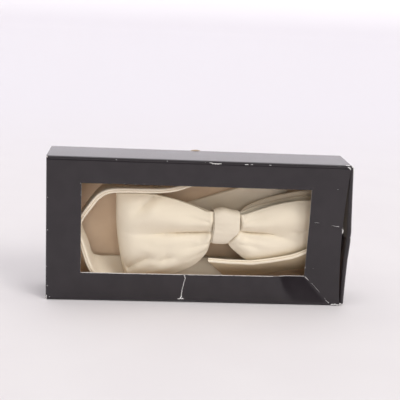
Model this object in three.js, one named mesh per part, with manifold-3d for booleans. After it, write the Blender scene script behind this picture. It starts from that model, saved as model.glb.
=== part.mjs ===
// A pre-tied silk bow tie kept in its folded-card carton, which has a window cut in the front.
// Millimetres, +Z up. The origin is the middle of the footprint on the floor: +X runs to the
// viewer's right along the carton, and +Y runs from the window to the back panel.
import * as THREE from "three";
import { mergeVertices } from "three/addons/utils/BufferGeometryUtils.js";
import Module from "manifold-3d";

const wasm = await Module();
wasm.setup();

// The carton: a sleeve of front, top, back and floor, a left end, and a right end panel that has
// sprung open by END_GAP at its front fold.
const PANEL_WIDTH = 170;
const END_GAP = 4;
const CARTON_HEIGHT = 83.5;
const CARTON_DEPTH = 31;
const CARD = 0.6;
const FOLD_RADIUS = 0.6;
const CARTON_LEFT = -(PANEL_WIDTH + END_GAP) / 2;
const CARTON_RIGHT = CARTON_LEFT + PANEL_WIDTH;

// The card strips left round the window.
const STRIP = { left: 19.5, right: 21.5, low: 16.8, high: 14.7 };
const WINDOW = {
  left: CARTON_LEFT + STRIP.left,
  right: CARTON_RIGHT - STRIP.right,
  low: STRIP.low,
  high: CARTON_HEIGHT - STRIP.high,
};
// The sleeve's bends run this far outside the window's edges, so that the cut crosses flat card.
const CUT_MARGIN = 0.5;

// Vertical lines of the sleeve. Each stands at high above the window's lower edge and slants to
// foot at the floor. dip is how far the lower strip's top is pushed in there, and lift how far
// its bottom fold stands off the floor. The strip right of the window comes out again by KINK.
const SLEEVE_LINES = [
  { name: "left fold", high: CARTON_LEFT, foot: CARTON_LEFT, dip: 0, lift: 0 },
  { name: "window left", high: WINDOW.left - CUT_MARGIN, foot: WINDOW.left, dip: 0, lift: 0.2 },
  { name: "left bend", high: -38, foot: -38, dip: 0.1, lift: 0.5 },
  { name: "crack", high: -8, foot: -9.5, dip: 0.4, lift: 0.8 },
  { name: "right bend", high: 22, foot: 20, dip: 0.9, lift: 0.5 },
  { name: "dent", high: 47, foot: 57, dip: 1, lift: 0.2 },
  { name: "corner crease", high: WINDOW.right + CUT_MARGIN, foot: 78.5, dip: 2.4, lift: 0 },
  { name: "right fold", high: CARTON_RIGHT, foot: CARTON_RIGHT, dip: 0, lift: 0 },
];
const KINK = 48.5;
// Heights of the front panel's cross lines, between its two folds.
const FRONT_LEVELS = [STRIP.low - CUT_MARGIN, 29, 41.5, KINK, 60, WINDOW.high + CUT_MARGIN, 78];
// The front panel's free right edge bows in, most at middle and not at all at halfSpan from it.
const EDGE_BOW = { across: 1.9, inward: 0.9, middle: 41.5, halfSpan: 41 };
const FLOOR_BEND_Y = -7;

// The loose end panel: where the outside of its front fold stands at each height.
const END_LEVELS = [
  { z: 1.2, fold: 85.7 },
  { z: 15, fold: 85.8 },
  { z: 28, fold: 86.1 },
  { z: 41.5, fold: 87 },
  { z: 52, fold: 86.3 },
  { z: 64, fold: 85.7 },
  { z: 76, fold: 85.1 },
  { z: 82.3, fold: 84.7 },
];
// The end panel in plan, from its hinge on the back panel round the fold to its tucked flap.
// inset is the distance in from the outside of the fold; share places a point between the
// hinge, 0, and the fold, 1.
const END_PLAN = [
  { y: 15.1, share: 0, inset: 0.9 },
  { y: 14.6, share: 0, inset: 0.1 },
  { y: 5, share: 0.42, inset: 0.3 },
  { y: -5, share: 0.78, inset: 0.3 },
  { y: -12.8, share: 1, inset: 0.3 },
  { y: -14.1, share: 1, inset: 0.6 },
  { y: -14.8, share: 1, inset: 1.3 },
  { y: -14.3, share: 1, inset: 2.1 },
  { y: -11.4, share: 1, inset: 4.2 },
];
// A half-moon on the back panel's top edge. root is how far it is joined to the panel.
const THUMB_TAB = { x: -3.2, width: 5.4, rise: 0.8, root: 1.2 };
// Joined card is set in by this much, so that no two faces lie in one plane.
const RECESS = 0.1;

// The bow: a flat loop of cloth pinched in the middle by the knot band.
const CLOTH = 1.2;
const KNOT_X = 14.7;
// Sections of the loop in the order in which the cloth runs: from the knot along the front to
// the left end, back behind to the knot, on to the right end, and forward to the knot again.
// The x columns are the section's top, middle and bottom, the z columns its top and bottom,
// and the y columns its top edge, upper crest, middle valley, lower crest and bottom edge.
const LOOP_SECTIONS = [
  { at: "knot front", x: [14.7, 14.7, 14.7], z: [50.9, 36.4], y: [-7.2, -8.9, -7.8, -8.9, -7.2] },
  { at: "knot side", x: [6.5, 6.5, 6.5], z: [50.9, 36.4], y: [-7.4, -9.1, -7.9, -9.1, -7.3] },
  { at: "left lip", x: [5.4, 5.3, 5.4], z: [51.6, 34.2], y: [-8.4, -11.4, -9.2, -11.4, -8.6] },
  { at: "left neck", x: [3.4, 3.2, 3.9], z: [52.3, 28.6], y: [-7.9, -11.4, -8.9, -11.5, -7.9] },
  { at: "left swell", x: [-3, -3, -3], z: [54.6, 20.6], y: [-6.8, -11.2, -8.7, -11.4, -7.2] },
  { at: "left inner", x: [-14, -14, -14], z: [58.2, 15.2], y: [-6.2, -11.4, -9.2, -11.4, -6.4] },
  { at: "left middle", x: [-28, -28, -26], z: [61, 12.4], y: [-5.8, -10.8, -9.3, -10.8, -5.8] },
  { at: "left outer", x: [-41, -40, -36], z: [61, 11], y: [-5.2, -8.6, -8.2, -8.6, -5] },
  { at: "left shoulder", x: [-46.6, -45.4, -40.4], z: [60.6, 10.5], y: [-3.6, -5, -5, -5, -3.2] },
  { at: "left end", x: [-48, -46.8, -41.6], z: [60.3, 10.4], y: [-1.6, -1.6, -1.6, -1.6, -1.2] },
  { at: "left heel", x: [-46.4, -45.2, -40.2], z: [60.2, 10.6], y: [0.6, 1.4, 1.4, 1.4, 0.8] },
  { at: "left back", x: [-30, -30, -28], z: [59.6, 12.6], y: [1.8, 2.6, 2.4, 2.6, 1.8] },
  { at: "left back neck", x: [-4, -4, -4], z: [54, 21.4], y: [0.8, 1.4, 0.8, 1.4, 0.8] },
  { at: "knot back side", x: [7.4, 7.4, 7.4], z: [50.8, 36.8], y: [-3.1, -2.6, -3.3, -2.6, -3.1] },
  { at: "knot back", x: [14.7, 14.7, 14.7], z: [50.8, 36.6], y: [-3.4, -2.9, -3.6, -2.9, -3.4] },
  { at: "knot back far", x: [21.8, 21.8, 21.8], z: [50.8, 36.4], y: [-3.1, -2.6, -3.3, -2.6, -3.1] },
  { at: "right back neck", x: [33, 33, 33], z: [54.2, 21.8], y: [0.8, 1.4, 0.8, 1.4, 0.8] },
  { at: "right back", x: [58, 58, 56], z: [60.6, 21.8], y: [1.8, 2.4, 2.2, 2.4, 1.6] },
  { at: "right heel", x: [73.6, 73, 69.6], z: [61, 26], y: [0.8, 1.1, 1.2, 1.1, 0.8] },
  { at: "right end", x: [75.2, 74.6, 71], z: [60.6, 26], y: [-1, -1, -1, -1, -0.8] },
  { at: "right shoulder", x: [73.6, 73, 69.6], z: [60.4, 26.2], y: [-3.2, -3.6, -3.4, -3, -1.6] },
  { at: "right outer", x: [66, 65, 62.5], z: [60.2, 24.6], y: [-4.8, -7.6, -6.6, -5.6, -0.6] },
  { at: "right middle", x: [54, 54, 53], z: [59.4, 22.8], y: [-5.8, -9.8, -8, -7.8, -0.8] },
  { at: "right inner", x: [41, 41, 41], z: [56.4, 20.8], y: [-6.2, -11, -8.6, -8.8, -1] },
  { at: "right swell", x: [30.5, 30.5, 30.5], z: [52.8, 22.8], y: [-6.8, -11, -8.4, -10, -5.4] },
  { at: "right neck", x: [25.9, 25.6, 22], z: [51.4, 29], y: [-7.9, -11.2, -8.8, -11.3, -7.6] },
  { at: "right lip", x: [24.4, 24.5, 19.4], z: [51, 33.8], y: [-8.4, -11.4, -9.2, -11.7, -8.8] },
  { at: "knot far side", x: [23.1, 22.8, 18.2], z: [50.8, 36.6], y: [-7.4, -9.1, -7.9, -9.1, -7.2] },
];
const LOOP_STEPS_PER_SECTION = 2;
const LOOP_POINTS_ACROSS = 9;

// The second, single layer of the bow behind the loop, tilted up to the right.
const TAIL_CLOTH = 1.3;
const TAIL_SECTIONS = [
  { x: -43, high: 56.6, low: 14.5, y: 4.6, wave: 0.2 },
  { x: -26, high: 57, low: 14.5, y: 4.7, wave: 0.3 },
  { x: -9, high: 54, low: 20, y: 4.4, wave: 0.4 },
  { x: 1, high: 51.4, low: 27.5, y: 2.6, wave: 0.3 },
  { x: 7.4, high: 49.2, low: 36.8, y: 0.1, wave: 0.2 },
  { x: 14.7, high: 49, low: 37, y: -0.4, wave: 0.2 },
  { x: 22, high: 49.4, low: 36.8, y: 0.1, wave: 0.2 },
  { x: 27, high: 53.2, low: 28, y: 2.2, wave: 0.3 },
  { x: 37, high: 57.6, low: 21.5, y: 4.2, wave: 0.3 },
  { x: 50, high: 61.2, low: 20.5, y: 4.5, wave: 0.3 },
  { x: 62, high: 63.6, low: 21, y: 4.5, wave: 0.2 },
  { x: 73, high: 64.6, low: 22.5, y: 4, wave: 0.2 },
];
const TAIL_STEPS_PER_SECTION = 2;
const TAIL_POINTS_ACROSS = 7;

// The knot band: a padded ring of cloth round the pinch. Sizes are to the middle of its wall.
const KNOT = { width: 15, wall: 1.6, crown: 0.4, trimLow: 5.2, trimFrom: 42 };
// The ring's section round the pinch: up the front, over the top and down the back.
const KNOT_SECTION = [
  { y: -11.3, z: 39.5 },
  { y: -11.4, z: 44 },
  { y: -11.1, z: 48.4 },
  { y: -10, z: 51.4 },
  { y: -7.4, z: 52.6 },
  { y: -3, z: 52.3 },
  { y: 2, z: 51 },
  { y: 5.4, z: 49 },
  { y: 6.8, z: 46 },
  { y: 7, z: 42.5 },
  { y: 6.4, z: 38 },
  { y: 3.8, z: 35.4 },
  { y: -1, z: 34.6 },
  { y: -7, z: 34.6 },
  { y: -10.4, z: 35.8 },
];
const KNOT_MIDDLE = { y: -2.1, z: 43.6 };
const KNOT_STEPS_PER_POINT = 2;
const KNOT_POINTS_ACROSS = 5;

// The neckband, one strap each side of the knot. Each row is a place on the strap's middle line,
// lean is the angle in degrees by which its width turns from +Y up towards +Z, and width is how
// wide it lies there.
const STRAP = 2.8;
const LEFT_STRAP_ROWS = [
  { x: 14.3, y: 3.1, z: 42.8, lean: 90, width: 10.4 },
  { x: 7.4, y: 3.1, z: 43, lean: 90, width: 10 },
  { x: 0, y: 5.8, z: 42.4, lean: 90, width: 14.4 },
  { x: -8, y: 7.4, z: 41.4, lean: 90, width: 18 },
  { x: -17, y: 7.5, z: 39.8, lean: 90, width: 19.6 },
  { x: -22.4, y: 8, z: 39, lean: 90, width: 20 },
  { x: -24.6, y: 9.9, z: 38.7, lean: 90, width: 20 },
  { x: -22.4, y: 11.8, z: 38.6, lean: 90, width: 20 },
  { x: -15, y: 12.4, z: 39.8, lean: 90, width: 20 },
  { x: 0, y: 12.4, z: 44.6, lean: 90, width: 20 },
  { x: 18, y: 12.4, z: 50.8, lean: 92, width: 20 },
  { x: 30, y: 11, z: 55.6, lean: 102, width: 20 },
  { x: 41, y: 7, z: 62.4, lean: 130, width: 20 },
  { x: 50, y: 3, z: 68.6, lean: 155, width: 20 },
  { x: 58, y: 0, z: 72.6, lean: 172, width: 20 },
  { x: 64.6, y: -1.6, z: 75, lean: 179, width: 20 },
  { x: 67, y: -2.2, z: 77.7, lean: 180, width: 20 },
  { x: 64.4, y: -2.5, z: 80.3, lean: 180, width: 20 },
  { x: 54, y: -2.5, z: 80.6, lean: 180, width: 20 },
  { x: 38, y: -2.5, z: 79, lean: 180, width: 20 },
  { x: 18, y: -2.5, z: 75.4, lean: 180, width: 20 },
  { x: 3, y: -2.5, z: 71.8, lean: 180, width: 20 },
  { x: -7.5, y: -2.5, z: 68.8, lean: 180, width: 20 },
  { x: -14, y: -2.5, z: 66.4, lean: 180, width: 20 },
  { x: -23, y: -2.5, z: 64.9, lean: 180, width: 20 },
  { x: -34, y: -2.5, z: 64.7, lean: 180, width: 20 },
  { x: -45, y: -2.5, z: 64.4, lean: 180, width: 20 },
  { x: -53, y: -2.5, z: 63.5, lean: 180, width: 20 },
  { x: -58.2, y: -2.5, z: 60.3, lean: 180, width: 20 },
  { x: -61.9, y: -2.5, z: 55.8, lean: 180, width: 20 },
  { x: -65, y: -2.5, z: 51.4, lean: 180, width: 20 },
  { x: -67.9, y: -2.5, z: 46.6, lean: 180, width: 20 },
  { x: -69.6, y: -2.5, z: 41.8, lean: 180, width: 20 },
  { x: -69.2, y: -2.5, z: 37.4, lean: 180, width: 20 },
  { x: -67.2, y: -2.5, z: 32.4, lean: 180, width: 20 },
  { x: -65.2, y: -2.5, z: 26.8, lean: 180, width: 20 },
  { x: -63.5, y: -2.3, z: 21.6, lean: 182, width: 20 },
  { x: -60.8, y: -1.4, z: 16.8, lean: 189, width: 20 },
  { x: -56.4, y: 1.6, z: 13.2, lean: 209, width: 20 },
  { x: -50, y: 4.8, z: 11.3, lean: 229, width: 20 },
  { x: -42, y: 6.8, z: 10.7, lean: 239, width: 20 },
  { x: -25, y: 7, z: 10.7, lean: 240, width: 20 },
  { x: -10, y: 7, z: 10.7, lean: 240, width: 20 },
  { x: 4, y: 7.2, z: 10.7, lean: 240, width: 20 },
  { x: 18, y: 7.4, z: 10.7, lean: 240, width: 20 },
  { x: 34, y: 7.5, z: 10.8, lean: 240, width: 19 },
];
const RIGHT_STRAP_ROWS = [
  { x: 15.1, y: 3.1, z: 42.8, lean: 90, width: 10.4 },
  { x: 22, y: 3.1, z: 43, lean: 90, width: 10 },
  { x: 29.4, y: 6.2, z: 42.2, lean: 90, width: 14.4 },
  { x: 38, y: 7.4, z: 41.2, lean: 90, width: 18 },
  { x: 50, y: 7.6, z: 39.6, lean: 90, width: 19.6 },
  { x: 64, y: 7.6, z: 37.4, lean: 90, width: 20 },
  { x: 73, y: 7, z: 35.8, lean: 90, width: 20 },
  { x: 78, y: 3.8, z: 34.4, lean: 91, width: 20 },
  { x: 79.6, y: -0.8, z: 32.8, lean: 96, width: 20 },
  { x: 78, y: -3.4, z: 31, lean: 104, width: 20 },
  { x: 73.5, y: -4.9, z: 28.6, lean: 116, width: 20 },
  { x: 66, y: -4.4, z: 25.4, lean: 130, width: 20 },
  { x: 55, y: -3.7, z: 22.3, lean: 140, width: 20 },
  { x: 43, y: -3.6, z: 19.8, lean: 141, width: 20 },
  { x: 30, y: -3.8, z: 18, lean: 140, width: 20 },
  { x: 18, y: -4.2, z: 17.6, lean: 136, width: 20 },
  { x: 4, y: -5.2, z: 17.4, lean: 128, width: 20 },
];
const STRAP_STEPS_PER_ROW = 2;
const STRAP_POINTS_ACROSS = 3;
// The right strap's end is cut on a slant: the cut passes through this point of its top edge.
const STRAP_END_CUT = { x: 5.2, z: 25, angle: 49 };

// The clasp: one flat plate on the left strap's end, behind the end of the right strap.
const CLASP = {
  x: 27,
  y: 7.4,
  z: 15.36,
  width: 12,
  height: 9,
  thickness: 1.2,
  corner: 2,
  lean: 60,
};

// Surfaces are a little satin on the card and soft on the silk.
const black_card = new THREE.MeshStandardMaterial({ color: 0x2b292b, roughness: 0.45, metalness: 0 });
const ivory_silk = new THREE.MeshStandardMaterial({ color: 0xe9dec8, roughness: 0.6, metalness: 0 });
const shaded_silk = new THREE.MeshStandardMaterial({ color: 0xdccfb8, roughness: 0.65, metalness: 0 });
const plated_steel = new THREE.MeshStandardMaterial({ color: 0xb9b4a8, roughness: 0.35, metalness: 1 });

const degrees = THREE.MathUtils.degToRad;
const mix = THREE.MathUtils.lerp;

// A closed solid from a grid of points on the middle of a sheet. rows run along the sheet and
// the points of a row across it; a ring is a sheet whose last row meets its first.
function sheetSolid(rows, thickness, isRing) {
  const along = rows.length;
  const across = rows[0].length;
  const faces = [[], []];
  for (let i = 0; i < along; i += 1) {
    const before = isRing ? rows[(i + along - 1) % along] : rows[Math.max(i - 1, 0)];
    const after = isRing ? rows[(i + 1) % along] : rows[Math.min(i + 1, along - 1)];
    for (let j = 0; j < across; j += 1) {
      const alongDirection = after[j].clone().sub(before[j]);
      const acrossDirection = rows[i][Math.min(j + 1, across - 1)]
        .clone()
        .sub(rows[i][Math.max(j - 1, 0)]);
      const offset = alongDirection.cross(acrossDirection).setLength(thickness / 2);
      faces[0].push(rows[i][j].clone().add(offset));
      faces[1].push(rows[i][j].clone().sub(offset));
    }
  }
  const count = along * across;
  const index = [];
  const quad = (a, b, c, d) => index.push(a, b, c, a, c, d);
  const steps = isRing ? along : along - 1;
  for (let i = 0; i < steps; i += 1) {
    const here = i * across;
    const next = ((i + 1) % along) * across;
    for (let j = 0; j < across - 1; j += 1) {
      quad(here + j, next + j, next + j + 1, here + j + 1);
      quad(count + here + j + 1, count + next + j + 1, count + next + j, count + here + j);
    }
    const last = across - 1;
    quad(count + here, count + next, next, here);
    quad(here + last, next + last, count + next + last, count + here + last);
  }
  if (!isRing) {
    const end = (along - 1) * across;
    for (let j = 0; j < across - 1; j += 1) {
      quad(j, j + 1, count + j + 1, count + j);
      quad(end + j + 1, end + j, count + end + j, count + end + j + 1);
    }
  }
  const geometry = new THREE.BufferGeometry().setFromPoints([...faces[0], ...faces[1]]);
  geometry.setIndex(index);
  return facingOut(geometry);
}

// The volume inside a closed mesh, which is negative when its faces point inwards.
function signedVolume(geometry) {
  const position = geometry.getAttribute("position");
  const index = geometry.index.array;
  const corner = [new THREE.Vector3(), new THREE.Vector3(), new THREE.Vector3()];
  let sum = 0;
  for (let i = 0; i < index.length; i += 3) {
    corner.forEach((point, k) => point.fromBufferAttribute(position, index[i + k]));
    sum += corner[0].dot(corner[1].cross(corner[2])) / 6;
  }
  return sum;
}

function facingOut(geometry) {
  if (signedVolume(geometry) < 0) {
    const index = geometry.index.array;
    for (let i = 0; i < index.length; i += 3) {
      [index[i + 1], index[i + 2]] = [index[i + 2], index[i + 1]];
    }
  }
  return geometry;
}

// Joins and cuts work on manifold solids, which hold only shared positions.
function solidOf(geometry) {
  const bare = geometry.clone();
  bare.deleteAttribute("normal");
  bare.deleteAttribute("uv");
  const merged = mergeVertices(bare, 1e-4);
  return new wasm.Manifold(
    new wasm.Mesh({
      numProp: 3,
      vertProperties: new Float32Array(merged.getAttribute("position").array),
      triVerts: new Uint32Array(merged.index.array),
    }),
  );
}

function geometryOf(solid) {
  const mesh = solid.getMesh();
  const geometry = new THREE.BufferGeometry();
  geometry.setAttribute("position", new THREE.BufferAttribute(mesh.vertProperties, 3));
  geometry.setIndex(new THREE.BufferAttribute(mesh.triVerts, 1));
  return geometry;
}

function blockSolid(low, high) {
  const size = high.map((value, axis) => value - low[axis]);
  const middle = high.map((value, axis) => (value + low[axis]) / 2);
  return solidOf(new THREE.BoxGeometry(...size).translate(...middle));
}

function namedMesh(name, geometry, material) {
  geometry.computeVertexNormals();
  const mesh = new THREE.Mesh(geometry, material);
  mesh.name = name;
  return mesh;
}

// The middle of the card round the sleeve, as places in Y and Z: up the front, back along the
// top, down the back and forward under the floor.
function sleeveLoop() {
  const y = (CARTON_DEPTH - CARD) / 2;
  const low = CARD / 2;
  const high = CARTON_HEIGHT - CARD / 2;
  const fold = (centreY, centreZ, from) =>
    [0, 45, 90].map((turn) => {
      const angle = degrees(from - turn);
      return { y: centreY + FOLD_RADIUS * Math.cos(angle), z: centreZ + FOLD_RADIUS * Math.sin(angle) };
    });
  return [
    ...fold(-y + FOLD_RADIUS, low + FOLD_RADIUS, 270),
    ...FRONT_LEVELS.map((z) => ({ y: -y, z })),
    ...fold(-y + FOLD_RADIUS, high - FOLD_RADIUS, 180),
    ...fold(y - FOLD_RADIUS, high - FOLD_RADIUS, 90),
    ...fold(y - FOLD_RADIUS, low + FOLD_RADIUS, 0),
    { y: FLOOR_BEND_Y, z: low },
  ];
}

// A point of the sleeve with its wear: the slanted lines, the dented lower strip, the bottom
// fold lifted off the floor, and the bowed right edge.
function sleevePoint(line, place) {
  const front = -(CARTON_DEPTH - CARD) / 2;
  const isFront = place.y < front + 2 * FOLD_RADIUS;
  const rise = THREE.MathUtils.clamp(place.z / STRIP.low, 0, 1);
  const point = new THREE.Vector3(mix(line.foot, line.high, rise), place.y, place.z);
  if (!isFront) return point;
  if (place.z <= STRIP.low) {
    point.y += line.dip * rise;
    point.z += line.lift * (1 - rise);
  } else if (line.name === "corner crease") {
    point.y += line.dip * THREE.MathUtils.clamp((KINK - place.z) / (KINK - STRIP.low), 0, 1);
  }
  if (line.name === "right fold") {
    const bow = Math.max(0, 1 - ((place.z - EDGE_BOW.middle) / EDGE_BOW.halfSpan) ** 2);
    point.x -= EDGE_BOW.across * bow;
    point.y += EDGE_BOW.inward * bow;
  }
  return point;
}

function sleeve() {
  const rows = sleeveLoop().map((place) => SLEEVE_LINES.map((line) => sleevePoint(line, place)));
  return solidOf(sheetSolid(rows, CARD, true));
}

function loosePanel() {
  const rows = END_PLAN.map((place) =>
    END_LEVELS.map((level) => {
      const outside = mix(CARTON_RIGHT, level.fold, place.share);
      return new THREE.Vector3(outside - place.inset, place.y, level.z);
    }),
  );
  return solidOf(sheetSolid(rows, CARD, false));
}

function leftEnd() {
  const inset = CARD / 2;
  const halfDepth = CARTON_DEPTH / 2 - inset;
  return blockSolid(
    [CARTON_LEFT + RECESS, -halfDepth, inset],
    [CARTON_LEFT + RECESS + CARD, halfDepth, CARTON_HEIGHT - inset],
  );
}

// A low half-moon of card that stands up from the back panel's top edge.
function thumbTab() {
  const half = THUMB_TAB.width / 2;
  const outline = new THREE.Shape();
  outline.moveTo(-half, -THUMB_TAB.root);
  outline.lineTo(half, -THUMB_TAB.root);
  outline.lineTo(half, 0);
  outline.quadraticCurveTo(0, 2 * THUMB_TAB.rise, -half, 0);
  const tab = new THREE.ExtrudeGeometry(outline, { depth: CARD, bevelEnabled: false, curveSegments: 6 });
  tab.rotateX(degrees(90));
  tab.translate(THUMB_TAB.x, CARTON_DEPTH / 2 - RECESS, CARTON_HEIGHT);
  return solidOf(tab);
}

function makeCarton() {
  const reach = CARTON_DEPTH / 6;
  const windowCut = blockSolid(
    [WINDOW.left, -CARTON_DEPTH / 2 - reach, WINDOW.low],
    [WINDOW.right, -CARTON_DEPTH / 2 + reach, WINDOW.high],
  );
  const carton = sleeve().add(leftEnd()).add(loosePanel()).add(thumbTab()).subtract(windowCut);
  return namedMesh("carton", geometryOf(carton), black_card);
}

// Sections of the bow's loop become smooth guide lines, and each step along them is a row of
// points spread evenly across the cloth.
function makeLoops() {
  const guideCount = LOOP_SECTIONS[0].y.length;
  const guides = [...Array(guideCount).keys()].map((k) => {
    const share = k / (guideCount - 1);
    const points = LOOP_SECTIONS.map(({ x, y, z }) => {
      const ends = mix(x[0], x[2], share);
      const bulge = (x[1] - (x[0] + x[2]) / 2) * (1 - (2 * share - 1) ** 2);
      return new THREE.Vector3(ends + bulge, y[k], mix(z[0], z[1], share));
    });
    return new THREE.CatmullRomCurve3(points, true, "centripetal");
  });
  const steps = LOOP_SECTIONS.length * LOOP_STEPS_PER_SECTION;
  const rows = [...Array(steps).keys()].map((i) => {
    const section = new THREE.CatmullRomCurve3(guides.map((guide) => guide.getPoint(i / steps)));
    return section.getPoints(LOOP_POINTS_ACROSS - 1);
  });
  return namedMesh("bow_loops", sheetSolid(rows, CLOTH, true), ivory_silk);
}

function makeTails() {
  const line = (place) =>
    new THREE.CatmullRomCurve3(TAIL_SECTIONS.map(place), false, "centripetal");
  const high = line(({ x, y, high: z }) => new THREE.Vector3(x, y, z));
  const low = line(({ x, y, low: z }) => new THREE.Vector3(x, y, z));
  const wave = line(({ x, wave: size }) => new THREE.Vector3(x, size, 0));
  const steps = (TAIL_SECTIONS.length - 1) * TAIL_STEPS_PER_SECTION;
  const rows = [...Array(steps + 1).keys()].map((i) => {
    const from = high.getPoint(i / steps);
    const to = low.getPoint(i / steps);
    const size = wave.getPoint(i / steps).y;
    return [...Array(TAIL_POINTS_ACROSS).keys()].map((j) => {
      const share = j / (TAIL_POINTS_ACROSS - 1);
      const point = from.clone().lerp(to, share);
      point.y += size * Math.cos(4 * Math.PI * share);
      return point;
    });
  });
  return namedMesh("bow_tails", sheetSolid(rows, TAIL_CLOTH, false), ivory_silk);
}

// The ring is crowned across its width and trimmed on the right below trimFrom, where the wing
// swells over it.
function makeKnot() {
  const section = new THREE.CatmullRomCurve3(
    KNOT_SECTION.map(({ y, z }) => new THREE.Vector3(0, y, z)),
    true,
    "centripetal",
  );
  const middle = new THREE.Vector3(0, KNOT_MIDDLE.y, KNOT_MIDDLE.z);
  const lowest = Math.min(...KNOT_SECTION.map(({ z }) => z));
  const steps = KNOT_SECTION.length * KNOT_STEPS_PER_POINT;
  const rows = [...Array(steps).keys()].map((i) => {
    const place = section.getPoint(i / steps);
    const outward = place.clone().sub(middle).normalize();
    const low = THREE.MathUtils.smoothstep(KNOT.trimFrom - place.z, 0, KNOT.trimFrom - lowest);
    return [...Array(KNOT_POINTS_ACROSS).keys()].map((j) => {
      const share = j / (KNOT_POINTS_ACROSS - 1);
      const point = place.clone().addScaledVector(outward, KNOT.crown * (1 - (2 * share - 1) ** 2));
      point.x = KNOT_X - KNOT.width / 2 + share * (KNOT.width - KNOT.trimLow * low);
      return point;
    });
  });
  return namedMesh("knot_band", sheetSolid(rows, KNOT.wall, true), ivory_silk);
}

// A strap of even thickness that bends and leans along its rows.
function strapGeometry(rows) {
  const path = new THREE.CatmullRomCurve3(
    rows.map(({ x, y, z }) => new THREE.Vector3(x, y, z)),
    false,
    "centripetal",
  );
  const steps = (rows.length - 1) * STRAP_STEPS_PER_ROW;
  const sections = [...Array(steps + 1).keys()].map((i) => {
    const place = i / STRAP_STEPS_PER_ROW;
    const row = rows[Math.floor(place)];
    const next = rows[Math.min(Math.floor(place) + 1, rows.length - 1)];
    const lean = degrees(mix(row.lean, next.lean, place % 1));
    const width = mix(row.width, next.width, place % 1);
    const point = path.getPoint(i / steps);
    const tangent = path.getTangent(i / steps);
    const sideways = new THREE.Vector3(0, Math.cos(lean), Math.sin(lean));
    sideways.addScaledVector(tangent, -sideways.dot(tangent)).normalize();
    return [...Array(STRAP_POINTS_ACROSS).keys()].map((j) => {
      const share = j / (STRAP_POINTS_ACROSS - 1) - 0.5;
      return point.clone().addScaledVector(sideways, share * width);
    });
  });
  return sheetSolid(sections, STRAP, false);
}

function makeLeftStrap() {
  return namedMesh("neckband_left", strapGeometry(LEFT_STRAP_ROWS), shaded_silk);
}

// The right strap ends in a slanted cut, taken off by a block turned to the cut's angle.
function makeRightStrap() {
  const size = 2 * CARTON_DEPTH;
  const block = new THREE.BoxGeometry(size, size, size).translate(-size / 2, 0, 0);
  block.rotateY(-degrees(90 - STRAP_END_CUT.angle));
  block.translate(STRAP_END_CUT.x, 0, STRAP_END_CUT.z);
  const strap = solidOf(strapGeometry(RIGHT_STRAP_ROWS)).subtract(solidOf(block));
  return namedMesh("neckband_right", geometryOf(strap), shaded_silk);
}

function makeClasp() {
  const halfWidth = CLASP.width / 2;
  const halfHeight = CLASP.height / 2;
  const outline = new THREE.Shape();
  const corners = [
    { x: halfWidth, y: halfHeight, from: 0 },
    { x: -halfWidth, y: halfHeight, from: 90 },
    { x: -halfWidth, y: -halfHeight, from: 180 },
    { x: halfWidth, y: -halfHeight, from: 270 },
  ];
  corners.forEach(({ x, y, from }) => {
    const centreX = x - Math.sign(x) * CLASP.corner;
    const centreY = y - Math.sign(y) * CLASP.corner;
    outline.absarc(centreX, centreY, CLASP.corner, degrees(from), degrees(from + 90));
  });
  const plate = new THREE.ExtrudeGeometry(outline, {
    depth: CLASP.thickness,
    bevelEnabled: false,
    curveSegments: 4,
  });
  plate.translate(0, 0, -CLASP.thickness / 2);
  const clasp = namedMesh("clasp", plate, plated_steel);
  clasp.rotation.x = degrees(CLASP.lean);
  clasp.position.set(CLASP.x, CLASP.y, CLASP.z);
  return clasp;
}

const boxed_bow_tie = new THREE.Group();
boxed_bow_tie.name = "boxed_bow_tie";
boxed_bow_tie.add(makeCarton());
boxed_bow_tie.add(makeLoops());
boxed_bow_tie.add(makeTails());
boxed_bow_tie.add(makeKnot());
boxed_bow_tie.add(makeLeftStrap());
boxed_bow_tie.add(makeRightStrap());
boxed_bow_tie.add(makeClasp());

export default boxed_bow_tie;
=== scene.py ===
# %% [markdown]
# A boxed silk bow tie.
# The real thing is a pre-tied bow tie of cream silk, kept in a narrow carton of black card
# with a plain window cut in its front. This notebook dresses the solid model of it: every
# piece is a mesh made here from tables of measured places, in the same frame as the model,
# so a reader can change one number and see which fold or edge it moves.

# %% Tools and the solid model
import math

import bpy
import numpy as np
from mathutils import Matrix, Vector, noise


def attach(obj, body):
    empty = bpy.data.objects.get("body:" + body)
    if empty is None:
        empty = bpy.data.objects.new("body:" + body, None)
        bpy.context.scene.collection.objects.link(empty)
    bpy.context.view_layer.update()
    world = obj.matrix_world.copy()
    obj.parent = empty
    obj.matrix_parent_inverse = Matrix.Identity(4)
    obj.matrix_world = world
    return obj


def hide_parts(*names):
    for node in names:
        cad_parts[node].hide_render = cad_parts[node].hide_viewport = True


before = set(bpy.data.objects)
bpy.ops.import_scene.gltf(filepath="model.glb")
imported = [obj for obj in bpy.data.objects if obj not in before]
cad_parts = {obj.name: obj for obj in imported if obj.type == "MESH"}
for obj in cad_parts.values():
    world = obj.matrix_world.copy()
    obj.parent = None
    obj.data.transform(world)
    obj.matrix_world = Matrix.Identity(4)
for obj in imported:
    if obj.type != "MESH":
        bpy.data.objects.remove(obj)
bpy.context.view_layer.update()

MM = 0.001
print("solids to dress:", sorted(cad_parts))

# %% [markdown]
# The camera.
# A picture of a box gives its own camera away: the slopes of the box's long and short edges
# fix the direction, and their lengths fix the distance. Those sums were done beforehand, and
# only the answer is kept here as a place and three turns. Building the camera's axes by hand
# is clearer than aiming it at a target, because the roll is part of the answer too.

# %% Camera
CAMERA_PLACE = Vector((-0.0370, -0.4891, 0.1771))
CAMERA_PITCH = math.radians(13.72)
CAMERA_YAW = math.radians(4.29)
CAMERA_ROLL = math.radians(-2.76)
FOCAL_PIXELS = 872.3
PICTURE_PIXELS = 400
SENSOR = 36.0
SEEN_METRES = 60

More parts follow.
